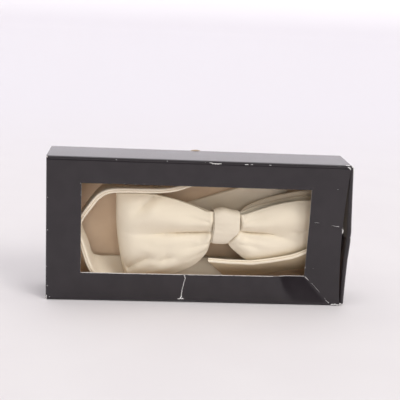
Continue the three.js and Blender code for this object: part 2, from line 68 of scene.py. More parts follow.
level = math.cos(CAMERA_PITCH)
ahead = Vector((math.sin(CAMERA_YAW) * level, math.cos(CAMERA_YAW) * level, -math.sin(CAMERA_PITCH)))
level_right = Vector((math.cos(CAMERA_YAW), -math.sin(CAMERA_YAW), 0))
level_down = ahead.cross(level_right)
right = level_right * math.cos(CAMERA_ROLL) + level_down * math.sin(CAMERA_ROLL)
down = level_down * math.cos(CAMERA_ROLL) - level_right * math.sin(CAMERA_ROLL)

camera_data = bpy.data.cameras.new("camera")
camera_data.sensor_width = SENSOR
camera_data.lens = FOCAL_PIXELS / PICTURE_PIXELS * SENSOR
camera_data.clip_end = SEEN_METRES
camera = bpy.data.objects.new("camera", camera_data)
camera.matrix_world = Matrix.Translation(CAMERA_PLACE) @ Matrix((right, -down, -ahead)).transposed().to_4x4()
bpy.context.scene.collection.objects.link(camera)
bpy.context.scene.camera = camera
print("lens", round(camera_data.lens, 1), "mm")

# %% [markdown]
# Small mesh tools.
# Everything below is either card or cloth, and both are sheets. A sheet can be drawn as a
# grid of points on its middle surface and then given its thickness, which keeps the folds
# smooth and the thickness even. Curves through measured places are centripetal Catmull-Rom
# curves: they pass through every place and don't overshoot where places lie close together.

# %% Curves and meshes
CENTRIPETAL = 0.25
SHORTEST_STRIDE = 1e-4


def smooth_line(points, count, closed=False):
    """count places along the curve through points; extra axes of points are curves side by side."""
    points = np.asarray(points, float)
    if closed:
        beads = np.concatenate([points[-1:], points, points[:2]])
        spans = len(points)
        places = np.arange(count) * spans / count
    else:
        beads = np.concatenate([2 * points[:1] - points[1:2], points, 2 * points[-1:] - points[-2:-1]])
        spans = len(points) - 1
        places = np.linspace(0, spans, count)
    span = np.minimum(places.astype(int), spans - 1)
    part = (places - span).reshape(-1, *[1] * (points.ndim - 1))
    before, start, end, after = (beads[span + step] for step in range(4))

    def stride(a, b):
        return np.maximum(((b - a) ** 2).sum(-1, keepdims=True) ** CENTRIPETAL, SHORTEST_STRIDE)

    first, middle, last = stride(before, start), stride(start, end), stride(end, after)
    leave = ((start - before) / first - (end - before) / (first + middle)) * middle + end - start
    arrive = ((after - end) / last - (after - start) / (middle + last)) * middle + end - start
    return (
        start
        + leave * part
        + (3 * (end - start) - 2 * leave - arrive) * part**2
        + (2 * (start - end) + leave + arrive) * part**3
    )


def smooth_step(low, high, value):
    share = np.clip((np.asarray(value, float) - low) / (high - low), 0, 1)
    return share * share * (3 - 2 * share)


def run_along(line):
    """How far along a line of points each of them lies."""
    return np.concatenate([[0], np.cumsum(np.linalg.norm(np.diff(line, axis=0), axis=1))])


def grid_faces(rows, columns, is_ring=False, is_tube=False):
    """Four-cornered faces over a grid of points. A ring closes its rows, a tube its columns."""
    faces = []
    for i in range(rows if is_ring else rows - 1):
        here, there = i * columns, (i + 1) % rows * columns
        for j in range(columns if is_tube else columns - 1):
            beside = (j + 1) % columns
            faces.append((here + j, here + beside, there + beside, there + j))
    return faces


def new_piece(name, points, faces, materials, sharp=40):
    """A mesh object from points in millimetres, smooth except over edges sharper than sharp."""
    mesh = bpy.data.meshes.new(name)
    mesh.from_pydata((np.asarray(points) * MM).tolist(), [], faces)
    mesh.validate()
    for material in materials:
        mesh.materials.append(material)
    mesh.polygons.foreach_set("use_smooth", [True] * len(mesh.polygons))
    mesh.set_sharp_from_angle(angle=math.radians(sharp))
    piece = bpy.data.objects.new(name, mesh)
    bpy.context.scene.collection.objects.link(piece)
    return piece


def face_outwards(piece):
    """Turns a closed mesh's faces round if the volume they enclose comes out negative."""
    mesh = piece.data
    volume = 0.0
    for face in mesh.polygons:
        corners = [mesh.vertices[i].co for i in face.vertices]
        for second, third in zip(corners[1:], corners[2:]):
            volume += corners[0].dot(second.cross(third)) / 6
    if volume < 0:
        mesh.flip_normals()


# %% [markdown]
# Cloth with two plies.
# A bow tie's band and wings are sewn as a flat bag and turned out, so each edge shows two
# plies of silk with a fine groove between them. A plain thick sheet would have a square
# edge. Here the section of the sheet carries the groove: it rolls over the front ply, dips
# in, and rolls over the back ply. Each point also stores how far along and across the cloth
# it lies, in millimetres, so that the weave follows the cloth round every fold.

# %% The cloth builder
# Edge sections, as shares of the cloth's thickness: how far out, and how far up.
TWO_PLY_EDGE = [
    (0.12, 0.47), (0.28, 0.38), (0.36, 0.24), (0.34, 0.1), (0.1, 0.0),
    (0.34, -0.1), (0.36, -0.24), (0.28, -0.38), (0.12, -0.47),
]
ROLLED_EDGE = [
    (0.16, 0.47), (0.34, 0.36), (0.46, 0.19), (0.5, 0.0), (0.46, -0.19), (0.34, -0.36), (0.16, -0.47),
]
CLOTH_SHARP = 55


def unit(vectors):
    return vectors / np.maximum(np.linalg.norm(vectors, axis=-1, keepdims=True), 1e-9)


def slopes(rows, is_ring):
    """Directions along and across a grid of points."""
    if is_ring:
        along = np.roll(rows, -1, 0) - np.roll(rows, 1, 0)
    else:
        along = np.gradient(rows, axis=0)
    return unit(along), unit(np.gradient(rows, axis=1))


def cloth_piece(name, rows, thickness, edge, material, is_ring=False):
    """A cloth of that thickness round a grid of middle points, with the given edge section."""
    rows = np.asarray(rows, float)
    along, across = slopes(rows, is_ring)
    normal = unit(np.cross(along, across))
    lift = normal * thickness / 2

    def edge_line(column, sign, out, up):
        beside, above = across[:, column] * out * thickness, normal[:, column] * up * thickness
        return rows[:, column] + sign * beside + sign * above

    low_edge = [edge_line(0, -1, out, up) for out, up in edge]
    high_edge = [edge_line(-1, 1, out, up) for out, up in edge]
    half = len(edge) // 2
    loop = low_edge[half::-1]
    loop += [rows[:, j] + lift[:, j] for j in range(rows.shape[1])]
    loop += high_edge
    loop += [rows[:, j] - lift[:, j] for j in range(rows.shape[1] - 1, -1, -1)]
    loop += low_edge[:half:-1]
    sections = np.stack(loop, axis=1)
    count, size = sections.shape[:2]
    faces = grid_faces(count, size, is_ring, is_tube=True)
    if not is_ring:
        faces.append(tuple(range(size - 1, -1, -1)))
        faces.append(tuple((count - 1) * size + j for j in range(size)))
    piece = new_piece(name, sections.reshape(-1, 3), faces, [material], CLOTH_SHARP)
    face_outwards(piece)
    place = piece.data.attributes.new("cloth", "FLOAT_VECTOR", "POINT")
    values = np.zeros((count, size, 3))
    values[..., 0] = run_along(rows[:, rows.shape[1] // 2])[:, None]
    values[..., 1] = run_along(sections[count // 2])[None, :]
    place.data.foreach_set("vector", values.ravel())
    return piece


def round_up(metres, parts=1e4):
    """Metres, up to the next tenth of a millimetre."""
    return math.ceil(metres * parts) / parts


def declare_cloth(rows, is_ring=False):
    """Works out how long a piece is along its rows, up to the next tenth of a millimetre; the length is not
    kept.
    """
    rows = np.asarray(rows, float) * MM
    if is_ring:
        rows = np.concatenate([rows, rows[:1]])
    length = float(np.linalg.norm(np.diff(rows, axis=0), axis=-1).sum(0).mean())
    length = round_up(length)


# %% [markdown]
# Shader groups.
# Three effects come back in several materials, so each is a node group with named sockets:
# the silk's twill, a soft mottle for any sheet, and the rubbed edges of the card. Groups
# give out values only; the shaders stay in each material, where they can be read and
# changed one by one. First come short helpers for the nodes that all of them use.

# %% Node group helper
def new_group(name, inputs, outputs):
    """A shader node group with float or vector sockets, its input and output nodes."""
    group = bpy.data.node_groups.new(name, "ShaderNodeTree")
    for label, kind, value in inputs:
        socket = group.interface.new_socket(label, in_out="INPUT", socket_type=kind)
        if value is not None:
            socket.default_value = value
    for label, kind in outputs:
        group.interface.new_socket(label, in_out="OUTPUT", socket_type=kind)
    return group, group.nodes.new("NodeGroupInput"), group.nodes.new("NodeGroupOutput")


def calculate(tree, operation, first, second=None, third=None):
    """A Math node. Each operand is a socket or a number."""
    node = tree.nodes.new("ShaderNodeMath")
    node.operation = operation
    for socket, value in zip(node.inputs, (first, second, third)):
        if value is None:
            continue
        if isinstance(value, (int, float)):
            socket.default_value = value
        else:
            tree.links.new(value, socket)
    return node.outputs[0]


def noise_value(tree, place, scale, detail=2.0, roughness=0.5):
    node = tree.nodes.new("ShaderNodeTexNoise")
    node.inputs["Detail"].default_value = detail
    node.inputs["Roughness"].default_value = roughness
    if isinstance(scale, (int, float)):
        node.inputs["Scale"].default_value = scale
    else:
        tree.links.new(scale, node.inputs["Scale"])
    tree.links.new(place, node.inputs["Vector"])
    return node.outputs["Fac"]


def between(tree, value, from_low, from_high, to_low=0.0, to_high=1.0, kind="SMOOTHSTEP"):
    node = tree.nodes.new("ShaderNodeMapRange")
    node.interpolation_type = kind
    tree.links.new(value, node.inputs["Value"])
    node.inputs["From Min"].default_value = from_low
    node.inputs["From Max"].default_value = from_high
    node.inputs["To Min"].default_value = to_low
    node.inputs["To Max"].default_value = to_high
    return node.outputs["Result"]


def blend_colours(tree, share, first, second):
    """A Mix node for colours. Each colour is a socket or a tuple."""
    node = tree.nodes.new("ShaderNodeMix")
    node.data_type = "RGBA"
    for socket, value in ((node.inputs[0], share), (node.inputs[6], first), (node.inputs[7], second)):
        if isinstance(value, tuple):
            socket.default_value = (*value, 1)
        elif isinstance(value, (int, float)):
            socket.default_value = value
        else:
            tree.links.new(value, socket)
    return node.outputs[2]


# %% [markdown]
# Silk twill.
# Twill is woven so that its threads step sideways from row to row, which draws fine
# slanted ribs. An image of cloth would repeat and blur in a close view. Two crossing sine
# waves give the ribs and the steps in them, a slow noise lets the ribs wander, and a finer
# noise adds the thick and thin places of real silk thread.

# %% The silk twill group
WANDER_SCALE, WANDER = 0.6, 0.35
SLUB_SCALE = 2.4
STEPS_PER_RIB = 1.45
# How much each part adds to the weave's height, above the level that it starts from.
WEAVE = {"level": 0.5, "ribs": 0.3, "steps": 0.12, "slub": 0.35}


def make_twill():
    """Slanted ribs of a fine twill. Rib is their spacing in the units of Place."""
    group, start, end = new_group(
        "silk_twill",
        [("Place", "NodeSocketVector", None), ("Rib", "NodeSocketFloat", 0.45)],
        [("Height", "NodeSocketFloat"), ("Tone", "NodeSocketFloat")],
    )
    place, rib = start.outputs["Place"], start.outputs["Rib"]
    split = group.nodes.new("ShaderNodeSeparateXYZ")
    group.links.new(place, split.inputs[0])
    wander = noise_value(group, place, WANDER_SCALE)
    slant = calculate(group, "ADD", split.outputs["X"], split.outputs["Y"])
    slant = calculate(group, "MULTIPLY_ADD", wander, WANDER, slant)
    turns = calculate(group, "DIVIDE", slant, rib)
    ribs = calculate(group, "SINE", calculate(group, "MULTIPLY", turns, 2 * math.pi))
    cross = calculate(group, "SUBTRACT", split.outputs["X"], split.outputs["Y"])
    cross = calculate(group, "DIVIDE", cross, rib)
    steps = calculate(group, "SINE", calculate(group, "MULTIPLY", cross, 2 * math.pi * STEPS_PER_RIB))
    slub = noise_value(group, place, SLUB_SCALE, detail=3, roughness=0.6)
    height = calculate(group, "MULTIPLY_ADD", ribs, WEAVE["ribs"], WEAVE["level"])
    height = calculate(group, "MULTIPLY_ADD", steps, WEAVE["steps"], height)
    height = calculate(group, "MULTIPLY_ADD", slub, WEAVE["slub"], height)
    group.links.new(height, end.inputs["Height"])
    group.links.new(between(group, height, 0.2, 1.1, kind="LINEAR"), end.inputs["Tone"])
    return group


silk_twill = make_twill()
print("silk twill nodes:", len(silk_twill.nodes))

# %% [markdown]
# Soft mottle.
# No real sheet has one even tone: cloth and card both change slowly from place to place.
# One noise makes the slow change and a finer one the flecks, and both are tied to a single
# Size, so that the same group serves silk, card and the paper floor.

# %% The mottle group
FLECKS_PER_PATCH = 60.0


def make_mottle():
    """A slow change of tone, 0 to 1, in patches about Size across, with finer flecks in it."""
    group, start, end = new_group(
        "soft_mottle",
        [("Place", "NodeSocketVector", None), ("Size", "NodeSocketFloat", 20.0)],
        [("Tone", "NodeSocketFloat"), ("Grain", "NodeSocketFloat")],
    )
    place = start.outputs["Place"]
    scale = calculate(group, "DIVIDE", 1.0, start.outputs["Size"])
    tone = noise_value(group, place, scale, roughness=0.45)
    fine_scale = calculate(group, "MULTIPLY", scale, FLECKS_PER_PATCH)
    fine = noise_value(group, place, fine_scale, detail=3, roughness=0.6)
    group.links.new(between(group, tone, 0.3, 0.7), end.inputs["Tone"])
    group.links.new(fine, end.inputs["Grain"])
    return group


soft_mottle = make_mottle()
print("soft mottle nodes:", len(soft_mottle.nodes))

# %% [markdown]
# Rubbed edges.
# Black card wears first along its folds, where the coat breaks up into pale patches and
# flecks. Painting them by hand would tie them to one view. Here the mask is a sum of
# patches, flecks and nearness to the fold, cut off at a high value, so that wear is
# densest on the fold itself and stops a short way from it.

# %% The rubbed edge group
PATCH_SCALE, FLECK_SCALE = 0.35, 2.6
WEAR = {"patches": 0.9, "flecks": 0.5, "nearness": 0.35}
WORN_FROM, WORN_THROUGH = 1.42, 1.5


def make_rubbed_edge():
    """1 where the coat is rubbed off within Width of an edge: Distance is how far the edge is."""
    group, start, end = new_group(
        "rubbed_edge",
        [
            ("Place", "NodeSocketVector", None),
            ("Distance", "NodeSocketFloat", 1.0),
            ("Width", "NodeSocketFloat", 0.5),
            ("Amount", "NodeSocketFloat", 0.5),
        ],
        [("Mask", "NodeSocketFloat")],
    )
    place = start.outputs["Place"]
    nearness = calculate(group, "DIVIDE", start.outputs["Distance"], start.outputs["Width"])
    nearness = calculate(group, "SUBTRACT", 1.0, nearness)
    patches = noise_value(group, place, PATCH_SCALE, detail=3, roughness=0.6)
    flecks = noise_value(group, place, FLECK_SCALE, roughness=0.7)
    patches = calculate(group, "MULTIPLY", patches, WEAR["patches"])
    worn = calculate(group, "ADD", patches, calculate(group, "MULTIPLY", flecks, WEAR["flecks"]))
    worn = calculate(group, "ADD", worn, calculate(group, "MULTIPLY", nearness, WEAR["nearness"]))
    worn = calculate(group, "ADD", worn, start.outputs["Amount"])
    mask = between(group, worn, WORN_FROM, WORN_THROUGH)
    is_near = calculate(group, "GREATER_THAN", nearness, 0.0)
    group.links.new(calculate(group, "MULTIPLY", mask, is_near), end.inputs["Mask"])
    return group


rubbed_edge = make_rubbed_edge()
print("rubbed edge nodes:", len(rubbed_edge.nodes))

# %% [markdown]
# Steps that every material takes.
# Each finish starts from the Principled shader and is then given its colour, its gloss and
# its relief. What changes over the surface is linked in from a group, and what is the same
# all over is set on the shader's own socket.

# %% Material helpers
def new_material(name):
    """A material, its node tree and its Principled shader."""
    material = bpy.data.materials.new(name)
    material.use_nodes = True
    return material, material.node_tree, material.node_tree.nodes["Principled BSDF"]


def add_group(tree, group, place, **values):
    node = tree.nodes.new("ShaderNodeGroup")
    node.node_tree = group
    tree.links.new(place, node.inputs["Place"])
    for label, value in values.items():
        if isinstance(value, (int, float)):
            node.inputs[label].default_value = value
        else:
            tree.links.new(value, node.inputs[label])
    return node


def add_bump(tree, shader, height, millimetres):
    bump = tree.nodes.new("ShaderNodeBump")
    bump.inputs["Distance"].default_value = millimetres * MM
    tree.links.new(height, bump.inputs["Height"])
    tree.links.new(bump.outputs["Normal"], shader.inputs["Normal"])


def set_inputs(shader, values):
    """Sets sockets that keep one value all over the surface."""
    for label, value in values.items():
        shader.inputs[label].default_value = value


GRAIN_LOW, GRAIN_HIGH = 0.2, 0.8


def vary_roughness(tree, shader, grain, low, high):
    """Roughness that goes from low to high with the grain."""
    rough = between(tree, grain, GRAIN_LOW, GRAIN_HIGH, low, high, "LINEAR")
    tree.links.new(rough, shader.inputs["Roughness"])


def cloth_place(tree):
    """How far along and across the cloth a point lies, in millimetres."""
    node = tree.nodes.new("ShaderNodeAttribute")
    node.attribute_name = "cloth"
    return node.outputs["Vector"]


def object_place(tree):
    """The point's place in the frame, in millimetres."""
    coordinates = tree.nodes.new("ShaderNodeTexCoord")
    node = tree.nodes.new("ShaderNodeVectorMath")
    node.operation = "SCALE"
    node.inputs["Scale"].default_value = 1 / MM
    tree.links.new(coordinates.outputs["Object"], node.inputs[0])
    return node.outputs["Vector"]


# %% [markdown]
# Silk.
# The bow is cream silk with a low lustre. A plain white-ish diffuse looks like plaster;
# silk's threads also throw light back at the edges of a fold, which the sheen of the
# Principled shader gives, and a broad soft gloss runs along them. The wings, the knot, the
# straps and the layer behind share one recipe. They differ in tone, rib and roughness, and
# the face of the right strap that shows is given a much darker silk, as painted shade.

# %% Silk materials
SILK_PATCH, SILK_MOTTLE = 14.0, 0.22
SILK_GLOSS_CHANGE = 0.05
SILK_LUSTRE = {
    "Specular IOR Level": 0.35,
    "Sheen Weight": 0.12,
    "Sheen Roughness": 0.4,
    "Sheen Tint": (1.0, 0.96, 0.88, 1),
}
TWILL_RELIEF = 0.05


def make_silk(name, light, deep, rib, roughness):
    material, tree, shader = new_material(name)
    twill = add_group(tree, silk_twill, cloth_place(tree), Rib=rib)
    mottle = add_group(tree, soft_mottle, object_place(tree), Size=SILK_PATCH)
    thread = blend_colours(tree, twill.outputs["Tone"], deep, light)
    tone = calculate(tree, "MULTIPLY", mottle.outputs["Tone"], SILK_MOTTLE)
    tree.links.new(blend_colours(tree, tone, thread, deep), shader.inputs["Base Color"])
    low, high = roughness - SILK_GLOSS_CHANGE, roughness + SILK_GLOSS_CHANGE
    vary_roughness(tree, shader, mottle.outputs["Grain"], low, high)
    set_inputs(shader, SILK_LUSTRE)
    add_bump(tree, shader, twill.outputs["Height"], TWILL_RELIEF)
    return material


wing_silk = make_silk("wing_silk", (0.905, 0.815, 0.67), (0.84, 0.74, 0.575), rib=0.42, roughness=0.5)
knot_silk = make_silk("knot_silk", (0.86, 0.77, 0.635), (0.80, 0.705, 0.56), rib=0.42, roughness=0.5)
band_silk = make_silk("band_silk", (0.95, 0.86, 0.725), (0.85, 0.745, 0.585), rib=0.5, roughness=0.55)
# Painted shade: a much darker copy of the strap silk, for the right strap's face in shadow.
strap_shade_silk = make_silk("strap_shade_silk", (0.62, 0.50, 0.345), (0.53, 0.415, 0.265), rib=0.5, roughness=0.65)
tail_silk = make_silk("tail_silk", (0.86, 0.76, 0.62), (0.78, 0.67, 0.52), rib=0.5, roughness=0.6)
print("silks:", [silk.name for silk in (wing_silk, knot_silk, band_silk, strap_shade_silk, tail_silk)])

# %% [markdown]
# Card.
# The carton is board with a black satin face. Where it is cut the pale core shows; where
# it is folded the black face cracks and shows it too. The inside is bare board, a warm
# brown. The loose end's inside is given the black face too, as painted shade for the dark
# gap beside it. A clear coat over a rough black gives the satin: the coat mirrors the room
# softly, and a little sheen lifts the black where it is seen at a flat angle.

# %% Card materials
CARTON_LEFT, CARTON_RIGHT = -87.0, 83.0
CARTON_HEIGHT, CARTON_DEPTH = 83.5, 31.0
BLACK_DEEP, BLACK_LIGHT = (0.0108, 0.0070, 0.0098), (0.0145, 0.0100, 0.0132)
PALE_CORE = (0.80, 0.78, 0.76)
BLACK_PATCH, BOARD_PATCH = 9.0, 12.0
BLACK_RELIEF = 0.03
SATIN = {
    "Specular IOR Level": 0.15,
    "Coat Weight": 0.95,
    "Coat Roughness": 0.15,
    "Coat IOR": 1.5,
    "Sheen Weight": 0.3,
    "Sheen Roughness": 0.3,
    "Sheen Tint": (1.0, 0.94, 1.0, 1),
}
SATIN_ROUGH_LOW, SATIN_ROUGH_HIGH, WORN_ROUGH = 0.36, 0.46, 0.85
BOARD_GLOSS_CHANGE = 0.08
# Grain above the first value makes flecks, full at the second; then how strong they may be.
BOARD_FLECKS = (0.56, 0.7, 0.0, 0.35)
# Rubbed edges: the two coordinates that fix each edge, how wide it is worn, and how much.
RUBBED_EDGES = [
    (("Y", -CARTON_DEPTH / 2), ("Z", CARTON_HEIGHT), 1.1, 0.12),
    (("Y", -CARTON_DEPTH / 2), ("Z", 0.0), 1.0, 0.06),
    (("X", CARTON_LEFT), ("Y", -CARTON_DEPTH / 2), 1.0, 0.1),
    (("Y", CARTON_DEPTH / 2), ("Z", CARTON_HEIGHT), 1.0, 0.08),
    (("X", 85.6), ("Y", -14.0), 1.6, 0.3),
]


def distance_to_edge(tree, split, *edge):
    """Distance from an edge that two coordinates fix."""
    squares = []
    for axis, at in edge:
        off = calculate(tree, "SUBTRACT", split.outputs[axis], at)
        squares.append(calculate(tree, "MULTIPLY", off, off))
    return calculate(tree, "SQRT", calculate(tree, "ADD", *squares))


def make_black_face():
    material, tree, shader = new_material("black_face")
    place = object_place(tree)
    split = tree.nodes.new("ShaderNodeSeparateXYZ")
    tree.links.new(place, split.inputs[0])
    mottle = add_group(tree, soft_mottle, place, Size=BLACK_PATCH)
    black = blend_colours(tree, mottle.outputs["Tone"], BLACK_DEEP, BLACK_LIGHT)
    mask = None
    for first, second, width, amount in RUBBED_EDGES:
        distance = distance_to_edge(tree, split, first, second)
        edge = add_group(tree, rubbed_edge, place, Distance=distance, Width=width, Amount=amount)
        worn = edge.outputs["Mask"]
        mask = worn if mask is None else calculate(tree, "MAXIMUM", mask, worn)
    tree.links.new(blend_colours(tree, mask, black, PALE_CORE), shader.inputs["Base Color"])
    grain = mottle.outputs["Grain"]
    satin = between(tree, grain, 0.25, 0.75, SATIN_ROUGH_LOW, SATIN_ROUGH_HIGH, "LINEAR")
    rough = calculate(tree, "MAXIMUM", satin, calculate(tree, "MULTIPLY", mask, WORN_ROUGH))
    tree.links.new(rough, shader.inputs["Roughness"])
    set_inputs(shader, SATIN)
    add_bump(tree, shader, grain, BLACK_RELIEF)
    return material


def make_board(name, light, deep, roughness, relief):
    material, tree, shader = new_material(name)
    mottle = add_group(tree, soft_mottle, object_place(tree), Size=BOARD_PATCH)
    base = blend_colours(tree, mottle.outputs["Tone"], light, deep)
    flecks = between(tree, mottle.outputs["Grain"], *BOARD_FLECKS)
    tree.links.new(blend_colours(tree, flecks, base, deep), shader.inputs["Base Color"])
    low, high = roughness - BOARD_GLOSS_CHANGE, roughness + BOARD_GLOSS_CHANGE
    vary_roughness(tree, shader, mottle.outputs["Grain"], low, high)
    add_bump(tree, shader, mottle.outputs["Grain"], relief)
    return material


black_face = make_black_face()
bare_board = make_board("bare_board", (0.88, 0.69, 0.51), (0.81, 0.62, 0.45), roughness=0.8, relief=0.05)
pale_core = make_board("pale_core", PALE_CORE, (0.66, 0.63, 0.60), roughness=0.9, relief=0.08)
torn_paper = make_board("torn_paper", (0.90, 0.89, 0.88), (0.74, 0.72, 0.71), roughness=0.95, relief=0.12)
print("card finishes:", [finish.name for finish in (black_face, bare_board, pale_core, torn_paper)])

# %% [markdown]
# The carton's sleeve.
# Front, top, back and floor are one strip of card folded round, and the left end is a flap
# of the same sheet. It is drawn as the middle surface of the card: columns run round the
# sleeve and rows along it. The wear is a table of slanted lines across the front, each with
# how far it is pushed in and lifted, so a crease is sharp where two lines meet and the
# card stays flat between them, as card does. Solidify then gives the sheet its thickness
# and puts the inside and the cut edge in materials of their own.

# %% Sleeve measurements
CARD = 0.6
FOLD_RADIUS = 0.6
MIDDLE_Y = (CARTON_DEPTH - CARD) / 2
WINDOW = {"left": -67.5, "right": 61.5, "low": 16.8, "high": 68.8}
# x above the window's lower edge, x at the floor, push in there, lift off the floor. Right of
# the window the strip comes out again by KINK.
WEAR_LINES = np.array(
    [
        (-87.0, -87.0, 0.0, 0.0),
        (-67.5, -67.5, 0.0, 0.2),
        (-38.0, -38.0, 0.1, 0.5),
        (-8.0, -9.5, 0.4, 0.8),
        (22.0, 20.0, 0.9, 0.5),
        (44.5, 46.0, 1.2, 0.3),
        (50.0, 56.5, 3.0, 0.2),
        (61.5, 78.5, 3.1, 0.0),
        (83.0, 83.0, 0.0, 0.0),
    ]
)
KINK = 48.5
EDGE_BOW = {"across": 1.9, "inward": 0.9, "middle": 41.5, "half_span": 41.0}
# Creases of the right-hand strip: two ends as (x, z), how deep and how wide.
CREASES = [
    ((63.5, 49.9), (81.0, 47.5), 0.35, 1.6),
    ((66.0, 21.9), (73.0, 21.7), 0.1, 0.8),
]
# A crease fades in from outside its end to inside it.
CREASE_FADE = (-2, 3)
SCORE_LINE = {"below_top": 1.5, "depth": 0.22, "width": 0.35}
HAIR = 1e-6
print("front wear lines:", len(WEAR_LINES), "creases:", len(CREASES))


def front_shape(x, z, dip, lift, edge_share):
    """Where a point of the front panel's middle surface lies, with its wear."""
    rise = np.clip(z / WINDOW["low"], 0, 1)
    out_again = np.clip((KINK - z) / (KINK - WINDOW["low"]), 0, 1) * (x > WINDOW["right"] - HAIR)
    y = -MIDDLE_Y + dip * (rise if z <= WINDOW["low"] + HAIR else out_again)
    bow = np.maximum(0, 1 - ((z - EDGE_BOW["middle"]) / EDGE_BOW["half_span"]) ** 2)
    x = x - EDGE_BOW["across"] * bow * edge_share
    y = y + EDGE_BOW["inward"] * bow * edge_share
    for (x0, z0), (x1, z1), depth, width in CREASES:
        run = np.hypot(x1 - x0, z1 - z0)
        along = ((x - x0) * (x1 - x0) + (z - z0) * (z1 - z0)) / run
        off = ((x - x0) * (z1 - z0) - (z - z0) * (x1 - x0)) / run
        fade = smooth_step(*CREASE_FADE, along) * smooth_step(*CREASE_FADE, run - along)
        y = y + depth * np.exp(-np.abs(off) / width) * fade
    score = CARTON_HEIGHT - SCORE_LINE["below_top"]
    y = y + SCORE_LINE["depth"] * np.exp(-(((z - score) / SCORE_LINE["width"]) ** 2))
    return x, y, z + lift * (1 - rise)


def front_place(x, z):
    """The outside of the front panel above or below a place given by x and z."""
    rise = np.clip(z / WINDOW["low"], 0, 1)
    columns = WEAR_LINES[:, 1] + (WEAR_LINES[:, 0] - WEAR_LINES[:, 1]) * rise
    dip = np.interp(x, columns, WEAR_LINES[:, 2])
    lift = np.interp(x, columns, WEAR_LINES[:, 3])
    share = smooth_step(WINDOW["right"], CARTON_RIGHT, x) if z > WINDOW["low"] else 0.0
    _, y, high = front_shape(x, z, dip, lift, share)
    return np.array([x, y - CARD / 2, high])


# %% [markdown]
# Where the sleeve's points go.
# A grid could be equally fine everywhere, but only the front is worn. So the rows lie
# closest at the score and the folds and far apart on the back, and the columns follow the
# slanted wear lines, so that each crease runs along edges of the mesh.

# %% Sleeve columns and rows
# How far apart the sheet's points are in each part: closest at the score under the top fold.
SPACING = {"strip": 1.0, "window": 1.3, "band": 1.2, "score": 0.15, "level": 2.0, "back": 3.0, "columns": 1.6}
SCORE_ZONE = 2.4
FOLD_TURNS = np.linspace(0, math.pi / 2, 6)[1:]


def steps_between(low, high, step):
    return list(np.linspace(low, high, max(1, round(abs(high - low) / step)) + 1)[:-1])


def sleeve_section():
    """The card's middle round the sleeve, as (y, z), up the front first."""
    low, high = CARD / 2, CARTON_HEIGHT - CARD / 2
    lowest, highest, side = low + FOLD_RADIUS, high - FOLD_RADIUS, MIDDLE_Y - FOLD_RADIUS
    score_start = high - SCORE_ZONE
    section = []

    def fold(y, z, start):
        for turn in FOLD_TURNS:
            angle = start - turn
            section.append((y + FOLD_RADIUS * math.cos(angle), z + FOLD_RADIUS * math.sin(angle)))

    levels = steps_between(lowest, WINDOW["low"], SPACING["strip"])
    levels += steps_between(WINDOW["low"], WINDOW["high"], SPACING["window"])
    levels += steps_between(WINDOW["high"], score_start, SPACING["band"])
    levels += steps_between(score_start, highest, SPACING["score"])
    section += [(-MIDDLE_Y, z) for z in levels + [highest]]
    fold(-side, highest, math.pi)
    section += [(y, high) for y in steps_between(-side, side, SPACING["level"])[1:] + [side]]
    fold(side, highest, math.pi / 2)
    section += [(MIDDLE_Y, z) for z in steps_between(highest, lowest, SPACING["back"])[1:] + [lowest]]
    fold(side, lowest, 0)
    section += [(y, low) for y in steps_between(side, -side, SPACING["level"])[1:] + [-side]]
    fold(-side, lowest, -math.pi / 2)
    return section[:-1]


def sleeve_columns():
    """Fine columns between the wear lines, each as x high, x at the floor, push in and lift."""
    columns = []
    for start, end in zip(WEAR_LINES[:-1], WEAR_LINES[1:]):
        step = SPACING["columns"] / (end[0] - start[0])
        columns += [start + (end - start) * share for share in steps_between(0, 1, step)]
    return np.array(columns + [WEAR_LINES[-1]])


def in_window(points):
    """True for a face whose middle lies over the window."""
    x, y, z = np.mean(points, axis=0)
    return y < 0 and WINDOW["left"] < x < WINDOW["right"] and WINDOW["low"] < z < WINDOW["high"]


# The front panel stops this far short of the carton's left, where the end's fold begins.
LEFT_TURN = FOLD_RADIUS + CARD / 2
# Where the folds above and below the front panel end, with a little to spare.
FRONT_END = -MIDDLE_Y + FOLD_RADIUS + 0.01


def sleeve_points():
    section, columns = sleeve_section(), sleeve_columns()
    grid = np.zeros((len(section), len(columns), 3))
    for i, (y, z) in enumerate(section):
        rise = np.clip(z / WINDOW["low"], 0, 1)
        x = columns[:, 1] + (columns[:, 0] - columns[:, 1]) * rise
        grid[i] = np.stack([x, np.full_like(x, y), np.full_like(x, z)], axis=1)
        if y < FRONT_END:
            edge = smooth_step(WINDOW["right"], CARTON_RIGHT, columns[:, 0])
            moved_x, moved_y, moved_z = front_shape(x, z, columns[:, 2], columns[:, 3], edge)
            moved_x[0] += LEFT_TURN * smooth_step(-MIDDLE_Y + FOLD_RADIUS, -MIDDLE_Y, y)
            grid[i] = np.stack([moved_x, moved_y + y + MIDDLE_Y, moved_z], axis=1)
    return grid


# The left end's steps back from the front, and where it stops short of the back panel.
END_STEP, END_STOP = 2.5, CARTON_DEPTH - 1.6


def left_end_points(front_column):
    """The left end as a flap: from the front panel's edge round a fold and back."""
    path = [(-FOLD_RADIUS * math.sin(turn), FOLD_RADIUS * (1 - math.cos(turn))) for turn in FOLD_TURNS]
    path += [(-FOLD_RADIUS, y) for y in steps_between(END_STEP, END_STOP, END_STEP) + [END_STOP]]
    return [front_column + np.array([x, y, 0]) for x, y in path]


print("sleeve grid:", len(sleeve_section()), "round by", len(sleeve_columns()), "along")


# %% [markdown]
# From a sheet to card.
# The faces over the window are left out of the grid, and the left end is joined on as more
# strips of the same mesh, so the fold there is one sheet with the front.

# %% Sleeve mesh
CARD_SHARP = 32


